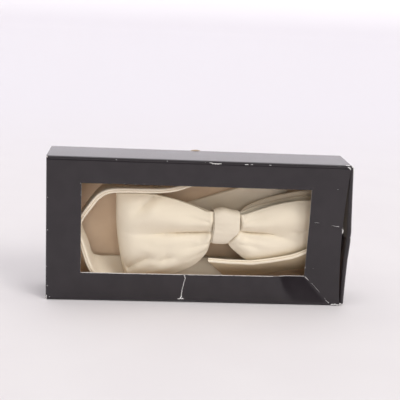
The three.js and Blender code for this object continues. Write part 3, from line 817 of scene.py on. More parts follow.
def card_piece(name, points, faces, inside=bare_board):
    """Card from its middle surface: black outside, another finish inside, pale core at the cuts."""
    sheet = new_piece(name + "_sheet", points, faces, [black_face, inside, pale_core])
    thickness = sheet.modifiers.new("thickness", "SOLIDIFY")
    thickness.thickness = CARD * MM
    thickness.offset = 0
    thickness.use_even_offset = True
    thickness.material_offset = 1
    thickness.material_offset_rim = 2
    evaluated = sheet.evaluated_get(bpy.context.evaluated_depsgraph_get())
    mesh = bpy.data.meshes.new_from_object(evaluated)
    mesh.name = name
    bpy.data.objects.remove(sheet)
    mesh.set_sharp_from_angle(angle=math.radians(CARD_SHARP))
    piece = bpy.data.objects.new(name, mesh)
    bpy.context.scene.collection.objects.link(piece)
    return piece


def build_sleeve():
    grid = sleeve_points()
    rounds, columns = grid.shape[:2]
    points = [tuple(p) for p in grid.reshape(-1, 3)]
    faces = grid_faces(rounds, columns, is_ring=True)
    faces = [face for face in faces if not in_window([points[k] for k in face])]
    front = [i for i, (y, _) in enumerate(sleeve_section()) if y < -MIDDLE_Y + HAIR]
    previous = [i * columns for i in front]
    for strip in left_end_points(grid[front, 0]):
        current = list(range(len(points), len(points) + len(front)))
        points += [tuple(p) for p in strip]
        for k in range(len(front) - 1):
            faces.append((current[k], previous[k], previous[k + 1], current[k + 1]))
        previous = current
    return card_piece("card_sleeve", points, faces)


card_sleeve = build_sleeve()
print("sleeve faces:", len(card_sleeve.data.polygons))

# %% [markdown]
# The loose end.
# The right-hand end is a panel hinged on the back, which has sprung open a few millimetres.
# Its front fold is round, and a short flap is tucked in behind the window panel. Drawn in
# plan it is one line from the hinge to the flap, and its middle height bulges most. A small
# dent runs across the fold at that height.

# %% Loose end panel
# z, and x of the fold's outside there.
END_LEVELS = [
    (1.2, 85.7), (15, 85.8), (28, 86.1), (41.5, 87.0), (52, 86.3), (64, 85.7), (76, 85.1), (82.3, 84.7),
]
# y, share of the way from hinge to fold, distance in from the outside of the fold.
END_PLAN = [
    (15.1, 0, 0.9), (14.6, 0, 0.1), (5, 0.42, 0.3), (-5, 0.78, 0.3), (-12.8, 1, 0.3),
    (-14.1, 1, 0.6), (-14.8, 1, 1.3), (-14.3, 1, 2.1), (-11.4, 1, 4.2),
]
PLAN_STEPS, LEVEL_STEPS = 57, 62
DENT = {"height": 41.3, "depth": 0.5, "reach": 1.2, "starts": -9, "is_full": -13}
DENT_LEVELS = [40.6, 41.0, 41.4, 41.8, 42.2]


def build_loose_end():
    plan = smooth_line(END_PLAN, PLAN_STEPS)
    levels = np.linspace(END_LEVELS[0][0], END_LEVELS[-1][0], LEVEL_STEPS)
    heights = np.unique(np.concatenate([levels, DENT_LEVELS]))
    folds = np.interp(heights, *zip(*END_LEVELS))
    dent = DENT["depth"] * np.exp(-np.abs(heights - DENT["height"]) / DENT["reach"])
    rows = []
    for y, share, inset in plan:
        outside = CARTON_RIGHT + (folds - CARTON_RIGHT) * share
        dented = dent * smooth_step(DENT["starts"], DENT["is_full"], y)
        rows.append(np.stack([outside - inset - dented, np.full_like(folds, y), heights], axis=1))
    points = np.array(rows)
    # The inside takes the black face, as painted shade for the dark gap at this end.
    return card_piece("loose_end_panel", points.reshape(-1, 3), grid_faces(*points.shape[:2]), black_face)


loose_end_panel = build_loose_end()
print("loose end faces:", len(loose_end_panel.data.polygons))

# %% [markdown]
# The thumb tab.
# A low half-moon of card stands up at the back of the top. It could be cut out of a block,
# but it is card like the rest, so it is three rows of points under a flat arc, given the
# card's thickness.

# %% Thumb tab
THUMB_TAB = {"middle": -3.2, "half": 2.9, "rise": 0.55, "root": 1.2, "forward": 0.1, "steps": 25}


def build_thumb_tab():
    half = THUMB_TAB["half"]
    points = []
    for x in np.linspace(-half, half, THUMB_TAB["steps"]):
        height = THUMB_TAB["rise"] * (1 - (x / half) ** 2)
        for level in (-THUMB_TAB["root"], height * 0.5, height):
            points.append((THUMB_TAB["middle"] + x, MIDDLE_Y - THUMB_TAB["forward"], CARTON_HEIGHT + level))
    return card_piece("thumb_tab", points, grid_faces(THUMB_TAB["steps"], 3))


thumb_tab = build_thumb_tab()
print("thumb tab stands", THUMB_TAB["rise"], "mm above the top")

# %% [markdown]
# The torn paper.
# On the lower strip the card has cracked through its black face: that is a ragged ridge of
# white paper, real geometry a fraction of a millimetre high, because a painted line would
# vanish from the side. The same ragged builder makes the scuffs at the worn corner and
# along the folds, each from a short list of places and widths. Its unevenness comes from
# one seeded generator, so that every run tears the paper alike.

# %% Ragged paper builder
rng = np.random.default_rng(11)
# The section of a torn ridge: share of the way to its side, and share of its height.
TEAR_SECTION = [(-1, -0.04), (-0.55, 0.6), (0, 1), (0.55, 0.6), (1, -0.04)]
LEAST_WIDTH, LEAST_HEIGHT = 0.35, 0.5
SIDE_WANDER = 0.6
LEAST_PLACES, TEAR_SHARP = 4, 60
END_TAPER, END_HEIGHT = 0.7, 0.15


def uneven(least, count=None):
    """Random shares between least and 1."""
    return least + (1 - least) * rng.random(count)


def ragged_ridge(places, outward, widths, height, step=0.3):
    """Points and faces of a torn ridge that follows places on a surface facing outward."""
    places = np.asarray(places, float)
    distance = run_along(places)
    count = max(LEAST_PLACES, int(distance[-1] / step))
    along = np.linspace(0, distance[-1], count)
    line = np.stack([np.interp(along, distance, places[:, k]) for k in range(3)], axis=1)
    width = np.interp(along, distance, widths)
    outward = np.asarray(outward, float)
    side = unit(np.cross(unit(np.gradient(line, axis=0)), outward))
    ends = np.minimum(1, np.minimum(along, distance[-1] - along) / step * END_TAPER)
    left = width * uneven(LEAST_WIDTH, count) * ends / 2
    far = width * uneven(LEAST_WIDTH, count) * ends / 2
    wander = side * (rng.random(count)[:, None] - 0.5) * width[:, None] * SIDE_WANDER
    points = []
    for i in range(count):
        crown = height * uneven(LEAST_HEIGHT) * max(ends[i], END_HEIGHT)
        for share, lift in TEAR_SECTION:
            reach = left[i] if share < 0 else far[i]
            points.append(line[i] + wander[i] + side[i] * share * reach + outward * crown * lift)
    return points, grid_faces(count, len(TEAR_SECTION))


def ragged_piece(name, ridges):
    points, faces = [], []
    for new_points, new_faces in ridges:
        start = len(points)
        points += list(new_points)
        faces += [tuple(start + k for k in face) for face in new_faces]
    return new_piece(name, points, faces, [torn_paper], TEAR_SHARP)


# %% The crack, the mitre crease and the specks
FRONT = (0, -1, 0)
# Each tear on the front: how high it stands, and its places as (x, z, width).
FRONT_TEARS = {
    "crack": (0.25, [
        (-8.6, 16.7, 0.9), (-7.7, 14.9, 0.6), (-8.5, 11.7, 0.55), (-9.3, 7.5, 0.5), (-9.6, 3.4, 0.7),
        (-9.9, 1.6, 1.2),
    ]),
    "foot of the crack": (0.3, [
        (-11.9, 1.3, 0.3), (-10.6, 1.6, 0.8), (-9.0, 1.7, 0.9), (-7.9, 1.5, 0.3),
    ]),
    "mitre crease, top": (0.08, [(61.8, 16.6, 0.6), (63.2, 15.4, 0.3), (64.4, 14.3, 0.12)]),
    "mitre crease, middle": (0.06, [
        (65.6, 13.3, 0.08), (68.0, 10.8, 0.14), (69.9, 8.8, 0.12), (71.4, 7.4, 0.06),
    ]),
    "mitre crease, foot": (0.08, [(73.8, 4.6, 0.06), (75.4, 2.6, 0.14), (77.0, 1.4, 0.5)]),
    "kink, left": (0.05, [(64.1, 50.0, 0.22), (67.4, 49.7, 0.12)]),
    "kink, right": (0.06, [(74.7, 48.2, 0.08), (77.2, 47.8, 0.2), (79.6, 47.6, 0.3)]),
    "tear at the edge": (0.2, [(80.9, 47.6, 0.6), (81.1, 45.5, 1.1), (81.0, 43.4, 0.6)]),
}
# Single white specks on the front, as (x, z).
SPECKS = [
    (-67.8, 66.2), (-67.9, 62.0), (-44.0, 69.0), (-86.2, 20.0), (-86.2, 60.0), (-84.6, 1.6),
    (61.9, 22.1), (66.3, 21.8), (71.4, 21.8), (72.6, 21.6), (76.3, 69.4), (-67.8, 63.6), (-67.6, 22.6),
    (-67.8, 68.6), (-86.2, 41.2), (-86.2, 8.2), (-86.1, 2.4), (14.0, 17.0), (-38.0, 69.0),
    (-33.0, 69.0),
]
SPECK = {"reach": 0.35, "more_reach": 0.35, "width": 0.42, "height": 0.08, "step": 0.12}
# The fibres along the cut below the window stand up a little: from x, to x, width.
CUT_FIBRES = [(-67.0, -30.0, 0.3), (-29.6, -9.2, 0.36), (-6.6, 20.0, 0.32), (20.4, 61.6, 0.34)]
FIBRE = {"below_cut": 0.08, "height": 0.05, "places": 12}


def front_tear(rows, height):
    places = [front_place(x, z) for x, z, _ in rows]
    return ragged_ridge(places, FRONT, [width for _, _, width in rows], height)


def build_tears():
    ridges = [front_tear(rows, height) for height, rows in FRONT_TEARS.values()]
    level = WINDOW["low"] - FIBRE["below_cut"]
    for start, end, width in CUT_FIBRES:
        rows = [(x, level, width) for x in np.linspace(start, end, FIBRE["places"])]
        ridges.append(front_tear(rows, FIBRE["height"]))
    for x, z in SPECKS:
        start = front_place(x, z)
        reach = SPECK["reach"] + SPECK["more_reach"] * rng.random()
        turn = rng.random() * math.pi
        end = start + np.array([reach * math.cos(turn), 0, reach * math.sin(turn)])
        widths = (SPECK["width"], SPECK["width"])
        ridges.append(ragged_ridge([start, end], FRONT, widths, SPECK["height"], SPECK["step"]))
    return ragged_piece("torn_paper_front", ridges)


torn_paper_front = build_tears()
print("front tears and fibres:", len(FRONT_TEARS) + len(CUT_FIBRES), "specks:", len(SPECKS))

# %% [markdown]
# The worn corners and folds.
# A carton that has been handled is scuffed where it is held and set down: along the top
# front fold, at the crushed top right corner and at both feet. Each scuff lies on the card
# as it is there, so each has its own facing, and the same ragged builder does the rest.

# %% Worn top edge, corners and feet
TOP_FRONT = (0, -0.9, 0.4)
# Scuffs along the top front fold: from x, to x, how far below the top, width.
TOP_SCUFFS = [
    (0.4, 1.6, 0.7, 0.3), (2.6, 4.6, 0.9, 0.5), (4.2, 9.6, 1.3, 0.8), (22.6, 24.6, 1.2, 0.55),
    (26.0, 27.2, 1.2, 0.4), (36.2, 37.6, 1.1, 0.45), (44.0, 62.0, 0.5, 0.14), (63.0, 78.0, 0.5, 0.2),
    (-49.0, -48.2, 0.9, 0.35), (-21.0, -20.2, 0.8, 0.25),
]
SCUFF = {"height": 0.12, "step": 0.15, "proud": 0.02}
# Worn places on corners and folds: which way they face, height, step, rows of (x, y, z, width).
WORN_PLACES = {
    "top right corner, above": (
        (0, -0.3, 1), 0.2, 0.2,
        [(79.6, -15.1, 83.5, 0.3), (81.6, -14.6, 83.55, 0.9), (82.9, -13.2, 83.5, 0.6)],
    ),
    "top right corner, front": (
        (0, -1, 0.2), 0.2, 0.2,
        [(80.6, -15.55, 82.9, 0.4), (82.0, -15.55, 82.3, 1.0), (82.7, -15.5, 81.0, 0.3)],
    ),
    "top of the loose fold": (
        (0.7, -0.7, 0), 0.2, 0.2,
        [
            (84.5, -14.5, 82.2, 1.0), (84.7, -14.55, 80.8, 1.2),
            (84.85, -14.55, 79.3, 0.9), (84.9, -14.5, 77.2, 0.3),
        ],
    ),
    "right foot": (
        (0.1, -0.9, 0.3), 0.25, 0.3,
        [(77.6, -15.5, 0.7, 0.5), (79.9, -15.6, 0.9, 0.9), (82.2, -15.4, 0.8, 0.8), (84.0, -14.9, 1.5, 0.9)],
    ),
    "left foot": (
        (-0.4, -0.9, 0), 0.2, 0.2,
        [(-86.3, -15.45, 0.9, 0.4), (-86.5, -15.4, 1.8, 0.8), (-86.4, -15.4, 3.0, 0.5)],
    ),
    "dot on the loose fold": (
        (0.7, -0.7, 0), 0.2, 0.15,
        [(86.6, -14.5, 42.4, 0.5), (86.75, -14.6, 41.4, 0.9), (86.6, -14.5, 40.4, 0.4)],
    ),
}
# The top front fold is round: at the top it lies this far back, less by a share of the depth.
TOP_FOLD_BACK, TOP_FOLD_SLOPE = 0.5, 0.6


def top_fold_y(below):
    """The outside of the rounded top front fold at a depth below the top."""
    return -CARTON_DEPTH / 2 + max(0, TOP_FOLD_BACK - below * TOP_FOLD_SLOPE) + SCUFF["proud"]


def build_scuffs():
    ridges = []
    for start, end, below, width in TOP_SCUFFS:
        places = [(x, top_fold_y(below), CARTON_HEIGHT - below) for x in (start, end)]
        ridges.append(ragged_ridge(places, TOP_FRONT, (width, width), SCUFF["height"], SCUFF["step"]))
    for outward, height, step, rows in WORN_PLACES.values():
        rows = np.array(rows)
        ridges.append(ragged_ridge(rows[:, :3], outward, rows[:, 3], height, step))
    return ragged_piece("torn_paper_corners", ridges)


torn_paper_corners = build_scuffs()
print("torn paper faces:", len(torn_paper_front.data.polygons) + len(torn_paper_corners.data.polygons))

# %% [markdown]
# The wings.
# A pre-tied bow is a loop of silk, flat at its ends and pinched at the knot. One closed
# curve for each of five lines across the cloth gives the loop: top edge, upper crest,
# valley, lower crest and bottom edge. A cloth simulation would give soft folds too, but in
# places of its own, and these are to lie where they lie on this bow.

# %% Wing sections
KNOT_X = 14.7
# x at the top, middle and bottom; z at the top and bottom; y across from top to bottom.
LOOP_SECTIONS = [
    ((14.7, 14.7, 14.7), (50.9, 36.4), (-7.2, -8.9, -7.8, -8.9, -7.2)),
    ((7.4, 7.4, 7.4), (50.9, 36.4), (-7.4, -9.1, -7.9, -9.1, -7.3)),
    ((6.5, 6, 5.5), (52.3, 33.8), (-8.2, -10.8, -9.4, -10.8, -8.4)),
    ((3.4, 3.2, 3.9), (52.3, 28.6), (-7.9, -11.4, -8.9, -11.5, -7.9)),
    ((-3, -3, -3), (54.6, 20.6), (-6.8, -11.2, -8.7, -11.4, -7.2)),
    ((-14, -14, -14), (58.2, 15.2), (-6.2, -11.4, -9.2, -11.4, -6.4)),
    ((-28, -28, -26), (61, 12.4), (-5.8, -10.8, -9.3, -10.8, -5.8)),
    ((-41, -40, -36), (61, 11), (-5.2, -8.6, -8.2, -8.6, -5)),
    ((-46.6, -45.4, -40.4), (60.6, 10.5), (-3.6, -5, -5, -5, -3.2)),
    ((-48, -46.8, -41.6), (60.3, 10.4), (-1.6, -1.6, -1.6, -1.6, -1.2)),
    ((-46.4, -45.2, -40.2), (60.2, 10.6), (0.6, 1.4, 1.4, 1.4, 0.8)),
    ((-30, -30, -28), (59.6, 12.6), (1.8, 2.6, 2.4, 2.6, 1.8)),
    ((-4, -4, -4), (54, 21.4), (0.8, 1.4, 0.8, 1.4, 0.8)),
    ((7.4, 7.4, 7.4), (50.8, 36.8), (-3.1, -2.6, -3.3, -2.6, -3.1)),
    ((14.7, 14.7, 14.7), (50.8, 36.6), (-3.4, -2.9, -3.6, -2.9, -3.4)),
    ((21.8, 21.8, 21.8), (50.8, 36.4), (-3.1, -2.6, -3.3, -2.6, -3.1)),
    ((33, 33, 33), (54.2, 21.8), (0.8, 1.4, 0.8, 1.4, 0.8)),
    ((58, 58, 56), (60.6, 21.8), (1.8, 2.4, 2.2, 2.4, 1.6)),
    ((73.6, 73, 69.6), (61, 26), (0.8, 1.1, 1.2, 1.1, 0.8)),
    ((75.2, 74.6, 71), (60.6, 26), (-1, -1, -1, -1, -0.8)),
    ((73.6, 73, 69.6), (60.4, 26.2), (-3.2, -3.6, -3.4, -3, -1.6)),
    ((66, 65, 62.5), (60.2, 24.6), (-4.8, -7.6, -6.6, -5.6, -0.6)),
    ((54, 54, 53), (59.4, 22.8), (-5.8, -9.8, -8, -7.8, -0.8)),
    ((41, 41, 41), (56.4, 20.8), (-6.2, -11, -8.6, -8.8, -1)),
    ((30.5, 30.5, 30.5), (52.8, 22.8), (-6.8, -11, -8.4, -10, -5.4)),
    ((25.9, 25.6, 22), (51.4, 29), (-7.9, -11.2, -8.8, -11.3, -7.6)),
    ((23.5, 23.8, 17.4), (51.2, 33.8), (-8.8, -11.8, -9.8, -12.0, -9.2)),
    ((22.2, 22, 16.6), (50.8, 36.6), (-7.4, -9.1, -7.9, -9.1, -7.2)),
]
LOOP_CLOTH = 1.2
print("wing sections:", len(LOOP_SECTIONS))

# %% [markdown]
# Fold lines.
# The pinch sends folds outwards over both wings. Each follows places on the front, with a
# depth and a width at each, and the cloth is pushed in or out beside it. Most folds are
# steeper on one side than on the other, so a fold may also have a skew.

# %% Fold lines
# In FOLD_CRISPNESS 2 would be a soft bell and 1 a sharp crease.
FOLD_CRISPNESS = 1.4
FOLD_PLACES = 40
# Each fold line: its skew, and its places as (x, z, depth, width). With a skew above 0 the
# fold is broad above its line and steep below it. A depth above 0 pushes the cloth in.
WING_FOLDS = {
    "left valley": (0.55, [
        (6.2, 40.2, 2.25, 1.0), (-2, 39.4, 3.75, 1.6), (-12.7, 38.9, 3.45, 2.2), (-24, 38.3, 2.25, 3.0),
        (-33, 37.9, 1.2, 3.6), (-41, 37.7, 0.0, 4.0),
    ]),
    "ridge under the left valley": (0.0, [
        (-2, 35.6, -0.75, 2.0), (-16, 34.2, -1.2, 3.0), (-30, 32.6, 0.0, 3.0),
    ]),
    "left upper corner": (-0.2, [
        (-27, 60.2, 1.6, 2.0), (-33.5, 54.2, 2.7, 2.3), (-39.5, 48.2, 0.0, 2.4),
    ]),
    "ridge in the left upper corner": (0.0, [
        (-22, 58, 0.0, 2.0), (-28, 52.5, -0.9, 2.2), (-34, 46.5, 0.0, 2.4),
    ]),
    "left lower sweep": (0.35, [
        (-24, 26.6, 0.0, 2.0), (-30.1, 23.6, 2.6, 2.8), (-35, 20.8, 3.0, 2.6), (-40.6, 16.2, 1.8, 1.9),
    ]),
    "short fold over the left lower sweep": (0.4, [
        (-12, 27.4, 0.0, 2.0), (-18.7, 24.1, 2.6, 2.6), (-25.1, 21.1, 0.0, 2.4),
    ]),
    "ridge over the left hem": (0.0, [
        (-14, 21, -0.6, 2.0), (-22, 17.6, -1.05, 2.6), (-29, 15.6, -0.45, 2.0),
    ]),
    "ridge at the left end": (0.0, [
        (-36.5, 31.5, 0.0, 2.0), (-31, 29.5, -0.75, 2.4), (-26, 29.5, 0.0, 2.4),
    ]),
    "left pinch, top": (0.0, [(4.4, 47, 0.9, 0.9), (-6, 49, 0.9, 1.8), (-20, 50.5, 0.0, 2.8)]),
    "left pinch, upper": (0.0, [(4.8, 44, 0.68, 0.7), (-2, 43.8, 0.6, 1.0), (-10, 44.4, 0.0, 1.6)]),
    "left pinch, lower": (0.0, [(4, 34.5, 0.9, 0.8), (-4, 31.8, 0.75, 1.5), (-14, 30.2, 0.0, 2.4)]),
    "left pinch, foot": (0.0, [(3, 30.2, 0.75, 0.8), (-3, 26.6, 0.6, 1.3), (-9, 23.8, 0.0, 2.0)]),
    "right valley": (0.6, [
        (22.6, 41.3, 1.95, 0.9), (28.8, 40.3, 3.6, 1.5), (34.6, 40.1, 3.6, 1.9),
        (40.4, 39.8, 2.85, 2.4), (47, 38.2, 1.95, 2.8), (55.6, 35.6, 0.45, 3.0),
    ]),
    "ridge under the right valley": (0.0, [
        (26, 36.2, -0.75, 1.8), (36, 34.4, -1.05, 2.6), (46, 32.2, 0.0, 2.8),
    ]),
    "short crease at the right end": (0.0, [
        (52, 42.2, 0.0, 0.9), (56, 41.6, 1.05, 1.1), (61, 41.9, 0.75, 1.0),
    ]),
    "upright crease at the right end": (0.0, [
        (61.6, 56, 0.2, 1.0), (61.8, 46, 0.8, 1.1), (62.0, 32, 0.5, 1.1),
    ]),
    "line along the right top edge": (0.5, [
        (25, 50.2, 0.3, 0.6), (33, 52.8, 0.4, 0.6), (41, 55.5, 0.4, 0.6), (54, 58.4, 0.4, 0.6),
        (62, 59.2, 0.3, 0.6),
    ]),
    "right pinch, top": (0.0, [(24.6, 46.6, 0.9, 0.9), (34, 49.4, 0.75, 1.8), (46, 51.6, 0.0, 2.8)]),
    "right pinch, upper": (0.0, [(25, 43.8, 0.6, 0.7), (30, 44.2, 0.52, 1.1), (37, 45.2, 0.0, 1.6)]),
    "right pinch, lower": (0.0, [(21.5, 35.2, 0.83, 0.8), (29, 33.2, 0.68, 1.5), (40, 30.8, 0.0, 2.4)]),
}


def fold_depth(x, z, folds):
    """How far the fold lines push the cloth in at each place."""
    depth = np.zeros_like(x)
    for skew, rows in folds.values():
        rows = np.array(rows, float)
        line = smooth_line(rows[:, :2], FOLD_PLACES)
        given, wanted = np.linspace(0, 1, len(rows)), np.linspace(0, 1, FOLD_PLACES)
        pushes = np.interp(wanted, given, rows[:, 2])
        widths = np.interp(wanted, given, rows[:, 3])
        best = np.zeros_like(x)
        for (line_x, line_z), push, width in zip(line, pushes, widths):
            width = width * np.where(z > line_z, 1 + skew, 1 - skew)
            near = np.exp(-((np.hypot(x - line_x, z - line_z) / width) ** FOLD_CRISPNESS))
            best = np.where(near * abs(push) > np.abs(best), near * push, best)
        depth += best
    return depth


print("fold lines:", len(WING_FOLDS))

# %% [markdown]
# The wings' mesh.
# Silk between its folds is never quite smooth. Two layers of slow noise, one broad and one
# finer, move the cloth by a few tenths of a millimetre, and both fade near the knot, where
# it is pulled tight.

# %% Soft unevenness
def soft_noise(points, size, seed):
    """Smooth noise from -1 to 1 at each point, in patches about size across."""
    flat = points.reshape(-1, 3) / size + seed
    return np.array([noise.noise(Vector(p)) for p in flat]).reshape(points.shape[:-1])


# %% Wings
LOOP_STEPS, LOOP_LINES = 312, 57
# The folds fade out behind the front and near the knot; the unevenness near the knot only.
FOLDS_START_Y, FOLDS_FULL_Y = -3.5, -5.5
FOLDS_FROM_KNOT = (6.5, 8.5)
UNEVEN_FROM_KNOT = (7, 14)
# The size of the patches, a seed, and how far the cloth moves.
WING_UNEVENNESS = [(11.0, 3.1, 0.25), (4.5, 8.7, 0.08)]


def loop_grid(steps, across):
    guides = []
    for x, z, y in LOOP_SECTIONS:
        share = np.linspace(0, 1, len(y))
        ends = x[0] + (x[2] - x[0]) * share
        bulge = (x[1] - (x[0] + x[2]) / 2) * (1 - (2 * share - 1) ** 2)
        guides.append(np.stack([ends + bulge, y, z[0] + (z[1] - z[0]) * share], axis=1))
    rings = smooth_line(np.array(guides), steps, closed=True)
    return smooth_line(rings.transpose(1, 0, 2), across).transpose(1, 0, 2)


def build_loops():
    rows = loop_grid(LOOP_STEPS, LOOP_LINES)
    x, y, z = rows[..., 0], rows[..., 1], rows[..., 2]
    from_knot = np.abs(x - KNOT_X)
    front = smooth_step(FOLDS_START_Y, FOLDS_FULL_Y, y) * smooth_step(*FOLDS_FROM_KNOT, from_knot)
    rows[..., 1] += fold_depth(x, z, WING_FOLDS) * front
    slow = sum(soft_noise(rows, size, seed) * amount for size, seed, amount in WING_UNEVENNESS)
    rows[..., 1] += slow * smooth_step(*UNEVEN_FROM_KNOT, from_knot)
    piece = cloth_piece("silk_wings", rows, LOOP_CLOTH, TWO_PLY_EDGE, wing_silk, is_ring=True)
    declare_cloth(rows, is_ring=True)
    return piece


silk_wings = build_loops()

# %% [markdown]
# The layer behind.
# Behind the loop lies one more layer of the bow, tilted up to the right, which shows as a
# grey strip in the shade over the right wing. It is a single sheet between an upper and a
# lower curve, with shallow waves, because it hangs from the same pinch.

# %% Back layer
TAIL_CLOTH = 1.3
# x, z at the top, z at the bottom, y, size of the waves.
TAIL_SECTIONS = [
    (-43, 56.6, 14.5, 4.6, 0.2),
    (-26, 57, 14.5, 4.7, 0.3),
    (-9, 54, 20, 4.4, 0.4),
    (1, 51.4, 27.5, 2.6, 0.3),
    (7.4, 49.2, 36.8, 0.1, 0.2),
    (14.7, 49, 37, -0.4, 0.2),
    (22, 49.4, 36.8, 0.1, 0.2),
    (27, 53.2, 28, 2.2, 0.3),
    (37, 57.6, 21.5, 4.2, 0.3),
    (50, 61.2, 20.5, 4.5, 0.3),
    (62, 63.6, 21, 4.5, 0.2),
    (73, 64.6, 22.5, 4, 0.2),
]
TAIL_STEPS, TAIL_LINES = 166, 33
TAIL_WAVES = 2


def build_tails():
    table = np.array(TAIL_SECTIONS, float)
    high = smooth_line(table[:, [0, 3, 1]], TAIL_STEPS)
    low = smooth_line(table[:, [0, 3, 2]], TAIL_STEPS)
    wave = np.interp(high[:, 0], table[:, 0], table[:, 4])
    share = np.linspace(0, 1, TAIL_LINES)
    rows = high[:, None] + (low - high)[:, None] * share[None, :, None]
    rows[..., 1] += wave[:, None] * np.cos(2 * np.pi * TAIL_WAVES * share)[None]
    piece = cloth_piece("silk_back_layer", rows, TAIL_CLOTH, TWO_PLY_EDGE, tail_silk)
    declare_cloth(rows)
    return piece


silk_back_layer = build_tails()

# %% [markdown]
# The knot.
# The knot isn't tied: it is a short band of silk wrapped once round the pinch and sewn at
# the back. Its section is a rounded square. It narrows a little at its waist, its left side
# slants, its top is domed off the middle, and its lower right corner is tucked under the
# swelling wing. Faint creases run across it.

# %% Knot
KNOT = {"width": 15.0, "wall": 1.6, "crown": 0.4, "inset": 0.5, "steps": 168, "lines": 41}
# How far the right side is cut away at the foot, and from which height down.
TRIM, TRIM_FROM = 6.0, 43.0
# The waist comes in most at the left; the right side has only a share of it.
WAIST, WAIST_REACH, WAIST_ON_THE_RIGHT = 0.4, 6.0, 0.4
SLANT, SLANT_FROM, SLANT_TO = 0.6, 48, 34
DOME = {"rise": 1.3, "x": 12.4, "reach": 4.6, "level": 0.45, "from": 45, "full": 52}
# From which y the cloth counts as the knot's front, and where it is all front.
KNOT_FRONT = (-6, -9)
KNOT_CREASES = {"depth": 0.05, "turns": 2.1, "sway": 0.5}
KNOT_UNEVEN_SIZE, KNOT_UNEVEN_SEED, KNOT_UNEVEN = 5.0, 1.7, 0.22
# The middle of the band's wall round the pinch, as (y, z): up the front and over the back.
KNOT_SECTION = [
    (-11.3, 39.5), (-11.4, 44.0), (-11.1, 48.4), (-10.0, 51.4), (-7.4, 52.6), (-3.0, 52.3), (2.0, 51.0),
    (5.4, 49.0), (6.8, 46.0), (7.0, 42.5), (6.4, 38.0), (3.8, 35.4), (-1.0, 34.6), (-7.0, 34.6),
    (-10.4, 35.8),
]
KNOT_MIDDLE = (-2.1, 43.6)


def build_knot():
    section = smooth_line(KNOT_SECTION, KNOT["steps"], closed=True)
    lowest = min(z for _, z in KNOT_SECTION)
    height = section[:, 1]
    trim = TRIM * smooth_step(0, TRIM_FROM - lowest, TRIM_FROM - height)
    waist = WAIST * np.exp(-(((height - KNOT_MIDDLE[1]) / WAIST_REACH) ** 2))
    slant = SLANT * smooth_step(SLANT_FROM, SLANT_TO, height)
    share = np.linspace(0, 1, KNOT["lines"])
    left = KNOT_X - KNOT["width"] / 2 + waist - slant + KNOT["inset"]
    right_side = KNOT_X + KNOT["width"] / 2 - trim - waist * WAIST_ON_THE_RIGHT - KNOT["inset"]
    x = left[:, None] + (right_side - left)[:, None] * share
    outward = unit(section - np.array(KNOT_MIDDLE))
    crown = KNOT["crown"] * (1 - (2 * share - 1) ** 2)
    places = section[:, None] + outward[:, None] * crown[None, :, None]
    rows = np.concatenate([x[..., None], places], axis=-1)
    z = rows[..., 2]
    dome = np.exp(-(((x - DOME["x"]) / DOME["reach"]) ** 2)) - DOME["level"]
    rows[..., 2] += DOME["rise"] * dome * smooth_step(DOME["from"], DOME["full"], z)
    front = smooth_step(*KNOT_FRONT, rows[..., 1])
    towards_sides = 1 - smooth_step(0.25, 0.5, 0.5 - np.abs(share - 0.5))
    waves = np.sin(z * KNOT_CREASES["turns"] + KNOT_CREASES["sway"] * np.sin(x * 0.5))
    creases = KNOT_CREASES["depth"] * waves * towards_sides[None]
    uneven_silk = soft_noise(rows, KNOT_UNEVEN_SIZE, KNOT_UNEVEN_SEED) * KNOT_UNEVEN
    rows[..., 1] += front * (creases + uneven_silk)
    piece = cloth_piece("silk_knot", rows, KNOT["wall"], ROLLED_EDGE, knot_silk, is_ring=True)
    declare_cloth(rows, is_ring=True)
    return piece


silk_knot = build_knot()

# %% [markdown]
# The neckband.
# Two straps leave the knot at the back, turn round the ends of the box and meet under the
# bow. Each is a long flat bag of silk, 20 mm wide, that mostly stands on its edge, so what
# shows is its two-ply edge. A strap is drawn as a row of places on its middle line, with an
# angle for its lean and its width there: easier to steer than a twisted ribbon modifier.
# The right strap ends in a slanted cut; the face of it that shows is darker silk, painted shade.

# %% Strap rows
STRAP_CLOTH = 2.8
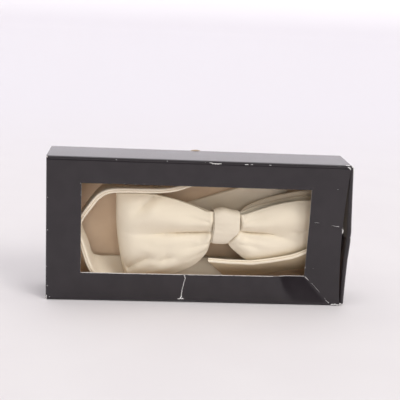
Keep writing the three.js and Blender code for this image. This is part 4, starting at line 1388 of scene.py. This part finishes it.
# Each place of a strap: x, y, z, lean in degrees from level, width.
LEFT_STRAP = [
    (14.3, 3.1, 42.8, 90, 10.4), (7.4, 3.1, 43, 90, 10), (0, 5.8, 42.4, 90, 14.4),
    (-8, 7.4, 41.4, 90, 18), (-17, 7.5, 39.8, 90, 19.6), (-22.4, 8, 39, 90, 20),
    (-24.6, 9.9, 38.7, 90, 20), (-22.4, 11.8, 38.6, 90, 20), (-15, 12.4, 39.8, 90, 20),
    (0, 12.4, 44.6, 90, 20), (18, 12.4, 50.8, 92, 20), (30, 11, 55.6, 102, 20), (41, 7, 62.4, 130, 20),
    (50, 3, 68.6, 155, 20), (58, 0, 72.6, 172, 20), (64.6, -1.6, 75, 179, 20),
    (67, -2.2, 77.7, 180, 20), (64.4, -2.5, 80.3, 180, 20), (54, -2.5, 80.6, 180, 20),
    (38, -2.5, 79, 180, 20), (18, -2.5, 75.4, 180, 20), (3, -2.5, 71.8, 180, 20),
    (-7.5, -2.5, 68.8, 180, 20), (-14, -2.5, 66.4, 180, 20), (-23, -2.5, 64.9, 180, 20),
    (-34, -2.5, 64.7, 180, 20), (-45, -2.5, 64.4, 180, 20), (-53, -2.5, 63.5, 180, 20),
    (-58.2, -2.5, 60.3, 180, 20), (-61.9, -2.5, 55.8, 180, 20), (-65, -2.5, 51.4, 180, 20),
    (-67.9, -2.5, 46.6, 180, 20), (-69.6, -2.5, 41.8, 180, 20), (-69.2, -2.5, 37.4, 180, 20),
    (-67.2, -2.5, 32.4, 180, 20), (-65.2, -2.5, 26.8, 180, 20), (-63.5, -2.3, 21.6, 182, 20),
    (-60.8, -1.4, 16.8, 189, 20), (-56.4, 1.6, 13.2, 209, 20), (-50, 4.8, 11.3, 229, 20),
    (-42, 6.8, 10.7, 239, 20), (-25, 7, 10.7, 240, 20), (-10, 7, 10.7, 240, 20),
    (4, 7.2, 10.7, 240, 20), (18, 7.4, 10.7, 240, 20), (34, 7.5, 10.8, 240, 19),
]
RIGHT_STRAP = [
    (15.1, 3.1, 42.8, 90, 10.4), (22, 3.1, 43, 90, 10), (29.4, 6.2, 42.2, 90, 14.4),
    (38, 7.4, 41.2, 90, 18), (50, 7.6, 39.6, 90, 19.6), (64, 7.6, 37.4, 90, 20), (73, 7, 35.8, 90, 20),
    (78, 3.8, 34.4, 91, 20), (79.6, -0.8, 32.8, 96, 20), (78, -3.4, 31, 104, 20),
    (73.5, -4.9, 28.6, 116, 20), (66, -4.4, 25.4, 130, 20), (55, -3.7, 22.3, 140, 20),
    (43, -3.6, 19.8, 141, 20), (30, -3.8, 18, 140, 20), (18, -4.2, 17.6, 136, 20),
    (4, -5.2, 17.4, 128, 20),
]
STRAP_END_CUT = {"x": 5.2, "z": 25.0, "angle": 49.0}
STRAP_STEPS, STRAP_LINES = 8, 15
# How far the two-ply edge stands out on each side of the flat part.
STRAP_EDGE_REACH = 0.36 * STRAP_CLOTH


def strap_grid(table):
    """Middle points of a strap, from its table of places."""
    table = np.array(table, float)
    count = (len(table) - 1) * STRAP_STEPS + 1
    line = smooth_line(table[:, :3], count)
    places = np.linspace(0, len(table) - 1, count)
    lean = np.radians(np.interp(places, np.arange(len(table)), table[:, 3]))
    width = np.interp(places, np.arange(len(table)), table[:, 4]) - 2 * STRAP_EDGE_REACH
    sideways = np.stack([np.zeros(count), np.cos(lean), np.sin(lean)], axis=1)
    forward = unit(np.gradient(line, axis=0))
    sideways = unit(sideways - (sideways * forward).sum(1, keepdims=True) * forward)
    share = np.linspace(-0.5, 0.5, STRAP_LINES)
    return line[:, None] + sideways[:, None] * (width[:, None] * share)[..., None]


print("strap places:", len(LEFT_STRAP), "left and", len(RIGHT_STRAP), "right")

# %% Strap meshes
CUT_ROWS = 24
RIPPLE, RIPPLE_SIZE = 0.24, 9.0


def slanted_end(rows, cut, tail):
    """Draws the last tail rows up to a slanted cut, so that every thread stops on it."""
    slope = math.tan(math.radians(90 - cut["angle"]))
    start = len(rows) - tail
    for j in range(rows.shape[1]):
        thread = rows[start:, j].copy()
        beyond = thread[:, 0] - cut["x"] - (cut["z"] - thread[:, 2]) * slope
        stop = np.interp(0, -beyond, np.arange(tail))
        for k in range(3):
            rows[start:, j, k] = np.interp(np.linspace(0, stop, tail), np.arange(tail), thread[:, k])
    return rows


def darken_one_side(piece, material):
    """Gives the second face of a two-ply strap a darker silk, as painted shade."""
    piece.data.materials.append(material)
    edge = len(TWO_PLY_EDGE)
    girth = 2 * (STRAP_LINES + edge)
    first = edge // 2 + 1 + STRAP_LINES + edge
    for face in piece.data.polygons:
        if first <= face.index % girth < first + STRAP_LINES - 1:
            face.material_index = 1


def build_strap(name, table, ripple_seed, cut=None, shade_silk=None):
    rows = strap_grid(table)
    if cut is not None:
        rows = slanted_end(rows, cut, CUT_ROWS)
    normal = unit(np.cross(*slopes(rows, is_ring=False)))
    ripple = soft_noise(rows, RIPPLE_SIZE, ripple_seed) * RIPPLE
    rows = rows + normal * ripple[..., None]
    piece = cloth_piece(name, rows, STRAP_CLOTH, TWO_PLY_EDGE, band_silk)
    if shade_silk is not None:
        darken_one_side(piece, shade_silk)
    declare_cloth(rows)
    return piece


silk_strap_left = build_strap("silk_strap_left", LEFT_STRAP, 5.3)
silk_strap_right = build_strap("silk_strap_right", RIGHT_STRAP, 9.1, STRAP_END_CUT, strap_shade_silk)

# %% [markdown]
# The clasp.
# Between the straps' ends sits one small plated plate. It is hidden from the front, so it
# keeps its solid from the model, and gets a brushed metal finish and a small bevel.

# %% Clasp
# Noise squeezed across and drawn out along the plate gives the brush lines.
BRUSH_STRETCH = (0.4, 12.0, 12.0)
STEEL_DARK, STEEL_LIGHT = (0.50, 0.48, 0.44), (0.66, 0.64, 0.60)
STEEL_RELIEF = 0.02
EDGE_SOFTNESS = 0.2


def make_plated_steel():
    material, tree, shader = new_material("plated_steel_brushed")
    stretch = tree.nodes.new("ShaderNodeVectorMath")
    stretch.operation = "MULTIPLY"
    stretch.inputs[1].default_value = BRUSH_STRETCH
    tree.links.new(object_place(tree), stretch.inputs[0])
    lines = noise_value(tree, stretch.outputs["Vector"], 1.0, detail=3)
    tree.links.new(blend_colours(tree, lines, STEEL_DARK, STEEL_LIGHT), shader.inputs["Base Color"])
    vary_roughness(tree, shader, lines, 0.25, 0.42)
    set_inputs(shader, {"Metallic": 1.0})
    add_bump(tree, shader, lines, STEEL_RELIEF)
    return material


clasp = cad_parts["clasp"]
clasp.data.materials.clear()
clasp.data.materials.append(make_plated_steel())
softened = clasp.modifiers.new("softened_edges", "BEVEL")
softened.width = EDGE_SOFTNESS * MM
softened.segments = 2
print("clasp finish:", clasp.data.materials[0].name)

# %% [markdown]
# Which piece stands for which solid.
# Every dressed piece rides on the model's one body, and the solids that it stands for are
# hidden.

# %% Bodies, solids and slots
DRESSED = [
    (card_sleeve, ["carton"], "black_card"),
    (loose_end_panel, ["carton"], "black_card"),
    (thumb_tab, ["carton"], "black_card"),
    (torn_paper_front, [], "black_card"),
    (torn_paper_corners, [], "black_card"),
    (silk_wings, ["bow_loops"], "ivory_silk"),
    (silk_back_layer, ["bow_tails"], "ivory_silk"),
    (silk_knot, ["knot_band"], "ivory_silk"),
    (silk_strap_left, ["neckband_left"], "ivory_silk"),
    (silk_strap_right, ["neckband_right"], "ivory_silk"),
]
for piece, solids, slot_name in DRESSED:
    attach(piece, "root")
    if solids:
        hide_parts(*solids)
print("pieces dressed:", len(DRESSED))

# %% [markdown]
# The floor.
# The box stands on a pale sweep: one sheet of paper that lies flat and curves up far behind
# the box, so that no corner shows. Its colour goes from a warm grey near the box to a cooler
# white far away, painted light falloff on paper of one tone. Where it curves up it is painted
# whiter still, as painted light for the satin top of the box to mirror.

# %% Floor
# How far back the painted light falloff runs and where the raised paper is painted white, in millimetres.
FLOOR_FALLOFF_Y, RAISED_LIGHT_Y = (-60, 900), (3200, 3900)
NEAR_DARK, NEAR_LIGHT = (0.735, 0.703, 0.715), (0.75, 0.72, 0.73)
FAR_PAPER, RAISED_PAPER = (0.755, 0.728, 0.775), (0.96, 0.94, 0.98)
FLOOR_PATCH = 60.0
SWEEP = {"half_width": 5000, "front": -2500, "bend": 3000, "radius": 1600, "top": 4000, "steps": 25}


def make_paper_floor():
    material, tree, shader = new_material("paper_floor")
    place = object_place(tree)
    split = tree.nodes.new("ShaderNodeSeparateXYZ")
    tree.links.new(place, split.inputs[0])
    # Painted light falloff: darker near the box, lighter far away.
    far = between(tree, split.outputs["Y"], *FLOOR_FALLOFF_Y)
    # Painted light: the raised paper is whiter, for the top of the box to mirror.
    raised = between(tree, split.outputs["Y"], *RAISED_LIGHT_Y)
    mottle = add_group(tree, soft_mottle, place, Size=FLOOR_PATCH)
    near_colour = blend_colours(tree, mottle.outputs["Tone"], NEAR_DARK, NEAR_LIGHT)
    flat_colour = blend_colours(tree, far, near_colour, FAR_PAPER)
    tree.links.new(blend_colours(tree, raised, flat_colour, RAISED_PAPER), shader.inputs["Base Color"])
    vary_roughness(tree, shader, mottle.outputs["Grain"], 0.8, 0.9)
    set_inputs(shader, {"Specular IOR Level": 0.2})
    return material


def build_sweep():
    """A sheet of paper that lies flat and then curves up far behind the box."""
    bend, radius = SWEEP["bend"], SWEEP["radius"]
    profile = [(SWEEP["front"], 0), (bend, 0)]
    for turn in np.linspace(0, math.pi / 2, SWEEP["steps"])[1:]:
        profile.append((bend + radius * math.sin(turn), radius - radius * math.cos(turn)))
    profile.append((bend + radius, SWEEP["top"]))
    points = [(x, y, z) for y, z in profile for x in (-SWEEP["half_width"], SWEEP["half_width"])]
    return new_piece("paper_floor", points, grid_faces(len(profile), 2), [make_paper_floor()])


build_sweep()
print("floor from", SWEEP["front"], "to", SWEEP["bend"] + SWEEP["radius"], "mm")

# %% [markdown]
# The light.
# Satin card shows the room as much as it shows the lamps. So the room is dim at the
# horizon, which keeps the front black, and glows overhead, which lights the silk and the
# top softly. Where the camera looks past the floor it sees a plain pale room instead. One
# broad sun from the front right throws the soft shadow back and to the left and lights the
# left of the inside. A low sun from the front fills the folds; it is left out of gloss,
# where it would show as a glare on the black strip.

# %% World and suns
# How high the room's brightness changes, from 0 at the horizon to 1 straight above.
WALLS, OVERHEAD = (0.22, 0.5), (0.5, 0.97)
OPEN_VIEW = 0.8
ROOM_TINT = (1.0, 0.985, 0.995, 1)


def make_soft_room(horizon, dark, bright):
    """A room that is dim at the horizon, glows above it and has a broad soft box overhead."""
    world = bpy.data.worlds.new("soft_room")
    world.use_nodes = True
    tree = world.node_tree
    coordinates = tree.nodes.new("ShaderNodeTexCoord")
    split = tree.nodes.new("ShaderNodeSeparateXYZ")
    tree.links.new(coordinates.outputs["Generated"], split.inputs[0])
    walls = between(tree, split.outputs["Z"], *WALLS, horizon, dark)
    overhead = between(tree, split.outputs["Z"], *OVERHEAD, 0.0, bright - dark)
    glow = calculate(tree, "ADD", walls, overhead)
    path = tree.nodes.new("ShaderNodeLightPath")
    open_view = calculate(tree, "MULTIPLY", path.outputs["Is Camera Ray"], OPEN_VIEW)
    background = tree.nodes["Background"]
    background.inputs["Color"].default_value = ROOM_TINT
    tree.links.new(calculate(tree, "MAXIMUM", glow, open_view), background.inputs["Strength"])
    return world


bpy.context.scene.world = make_soft_room(horizon=0.04, dark=0.32, bright=1.7)


def add_sun(name, azimuth, elevation, energy, spread, colour, in_gloss=True):
    """A sun lamp. azimuth turns from straight in front of the box to the viewer's right."""
    azimuth, elevation = math.radians(azimuth), math.radians(elevation)
    towards = Vector((math.sin(azimuth), -math.cos(azimuth), math.tan(elevation)))
    lamp = bpy.data.lights.new(name, "SUN")
    lamp.energy = energy
    lamp.angle = math.radians(spread)
    lamp.color = colour
    sun = bpy.data.objects.new(name, lamp)
    sun.visible_glossy = in_gloss
    sun.rotation_euler = towards.to_track_quat("Z", "Y").to_euler()
    bpy.context.scene.collection.objects.link(sun)
    print(name, "sun, energy", energy)


KEY_WHITE, FILL_WHITE = (1.0, 0.985, 0.955), (1.0, 0.98, 0.95)
add_sun("key", azimuth=46, elevation=38, energy=1.1, spread=30, colour=KEY_WHITE)
add_sun("front_fill", azimuth=2, elevation=9, energy=0.55, spread=28, colour=FILL_WHITE, in_gloss=False)

bpy.context.scene.view_settings.view_transform = "Standard"
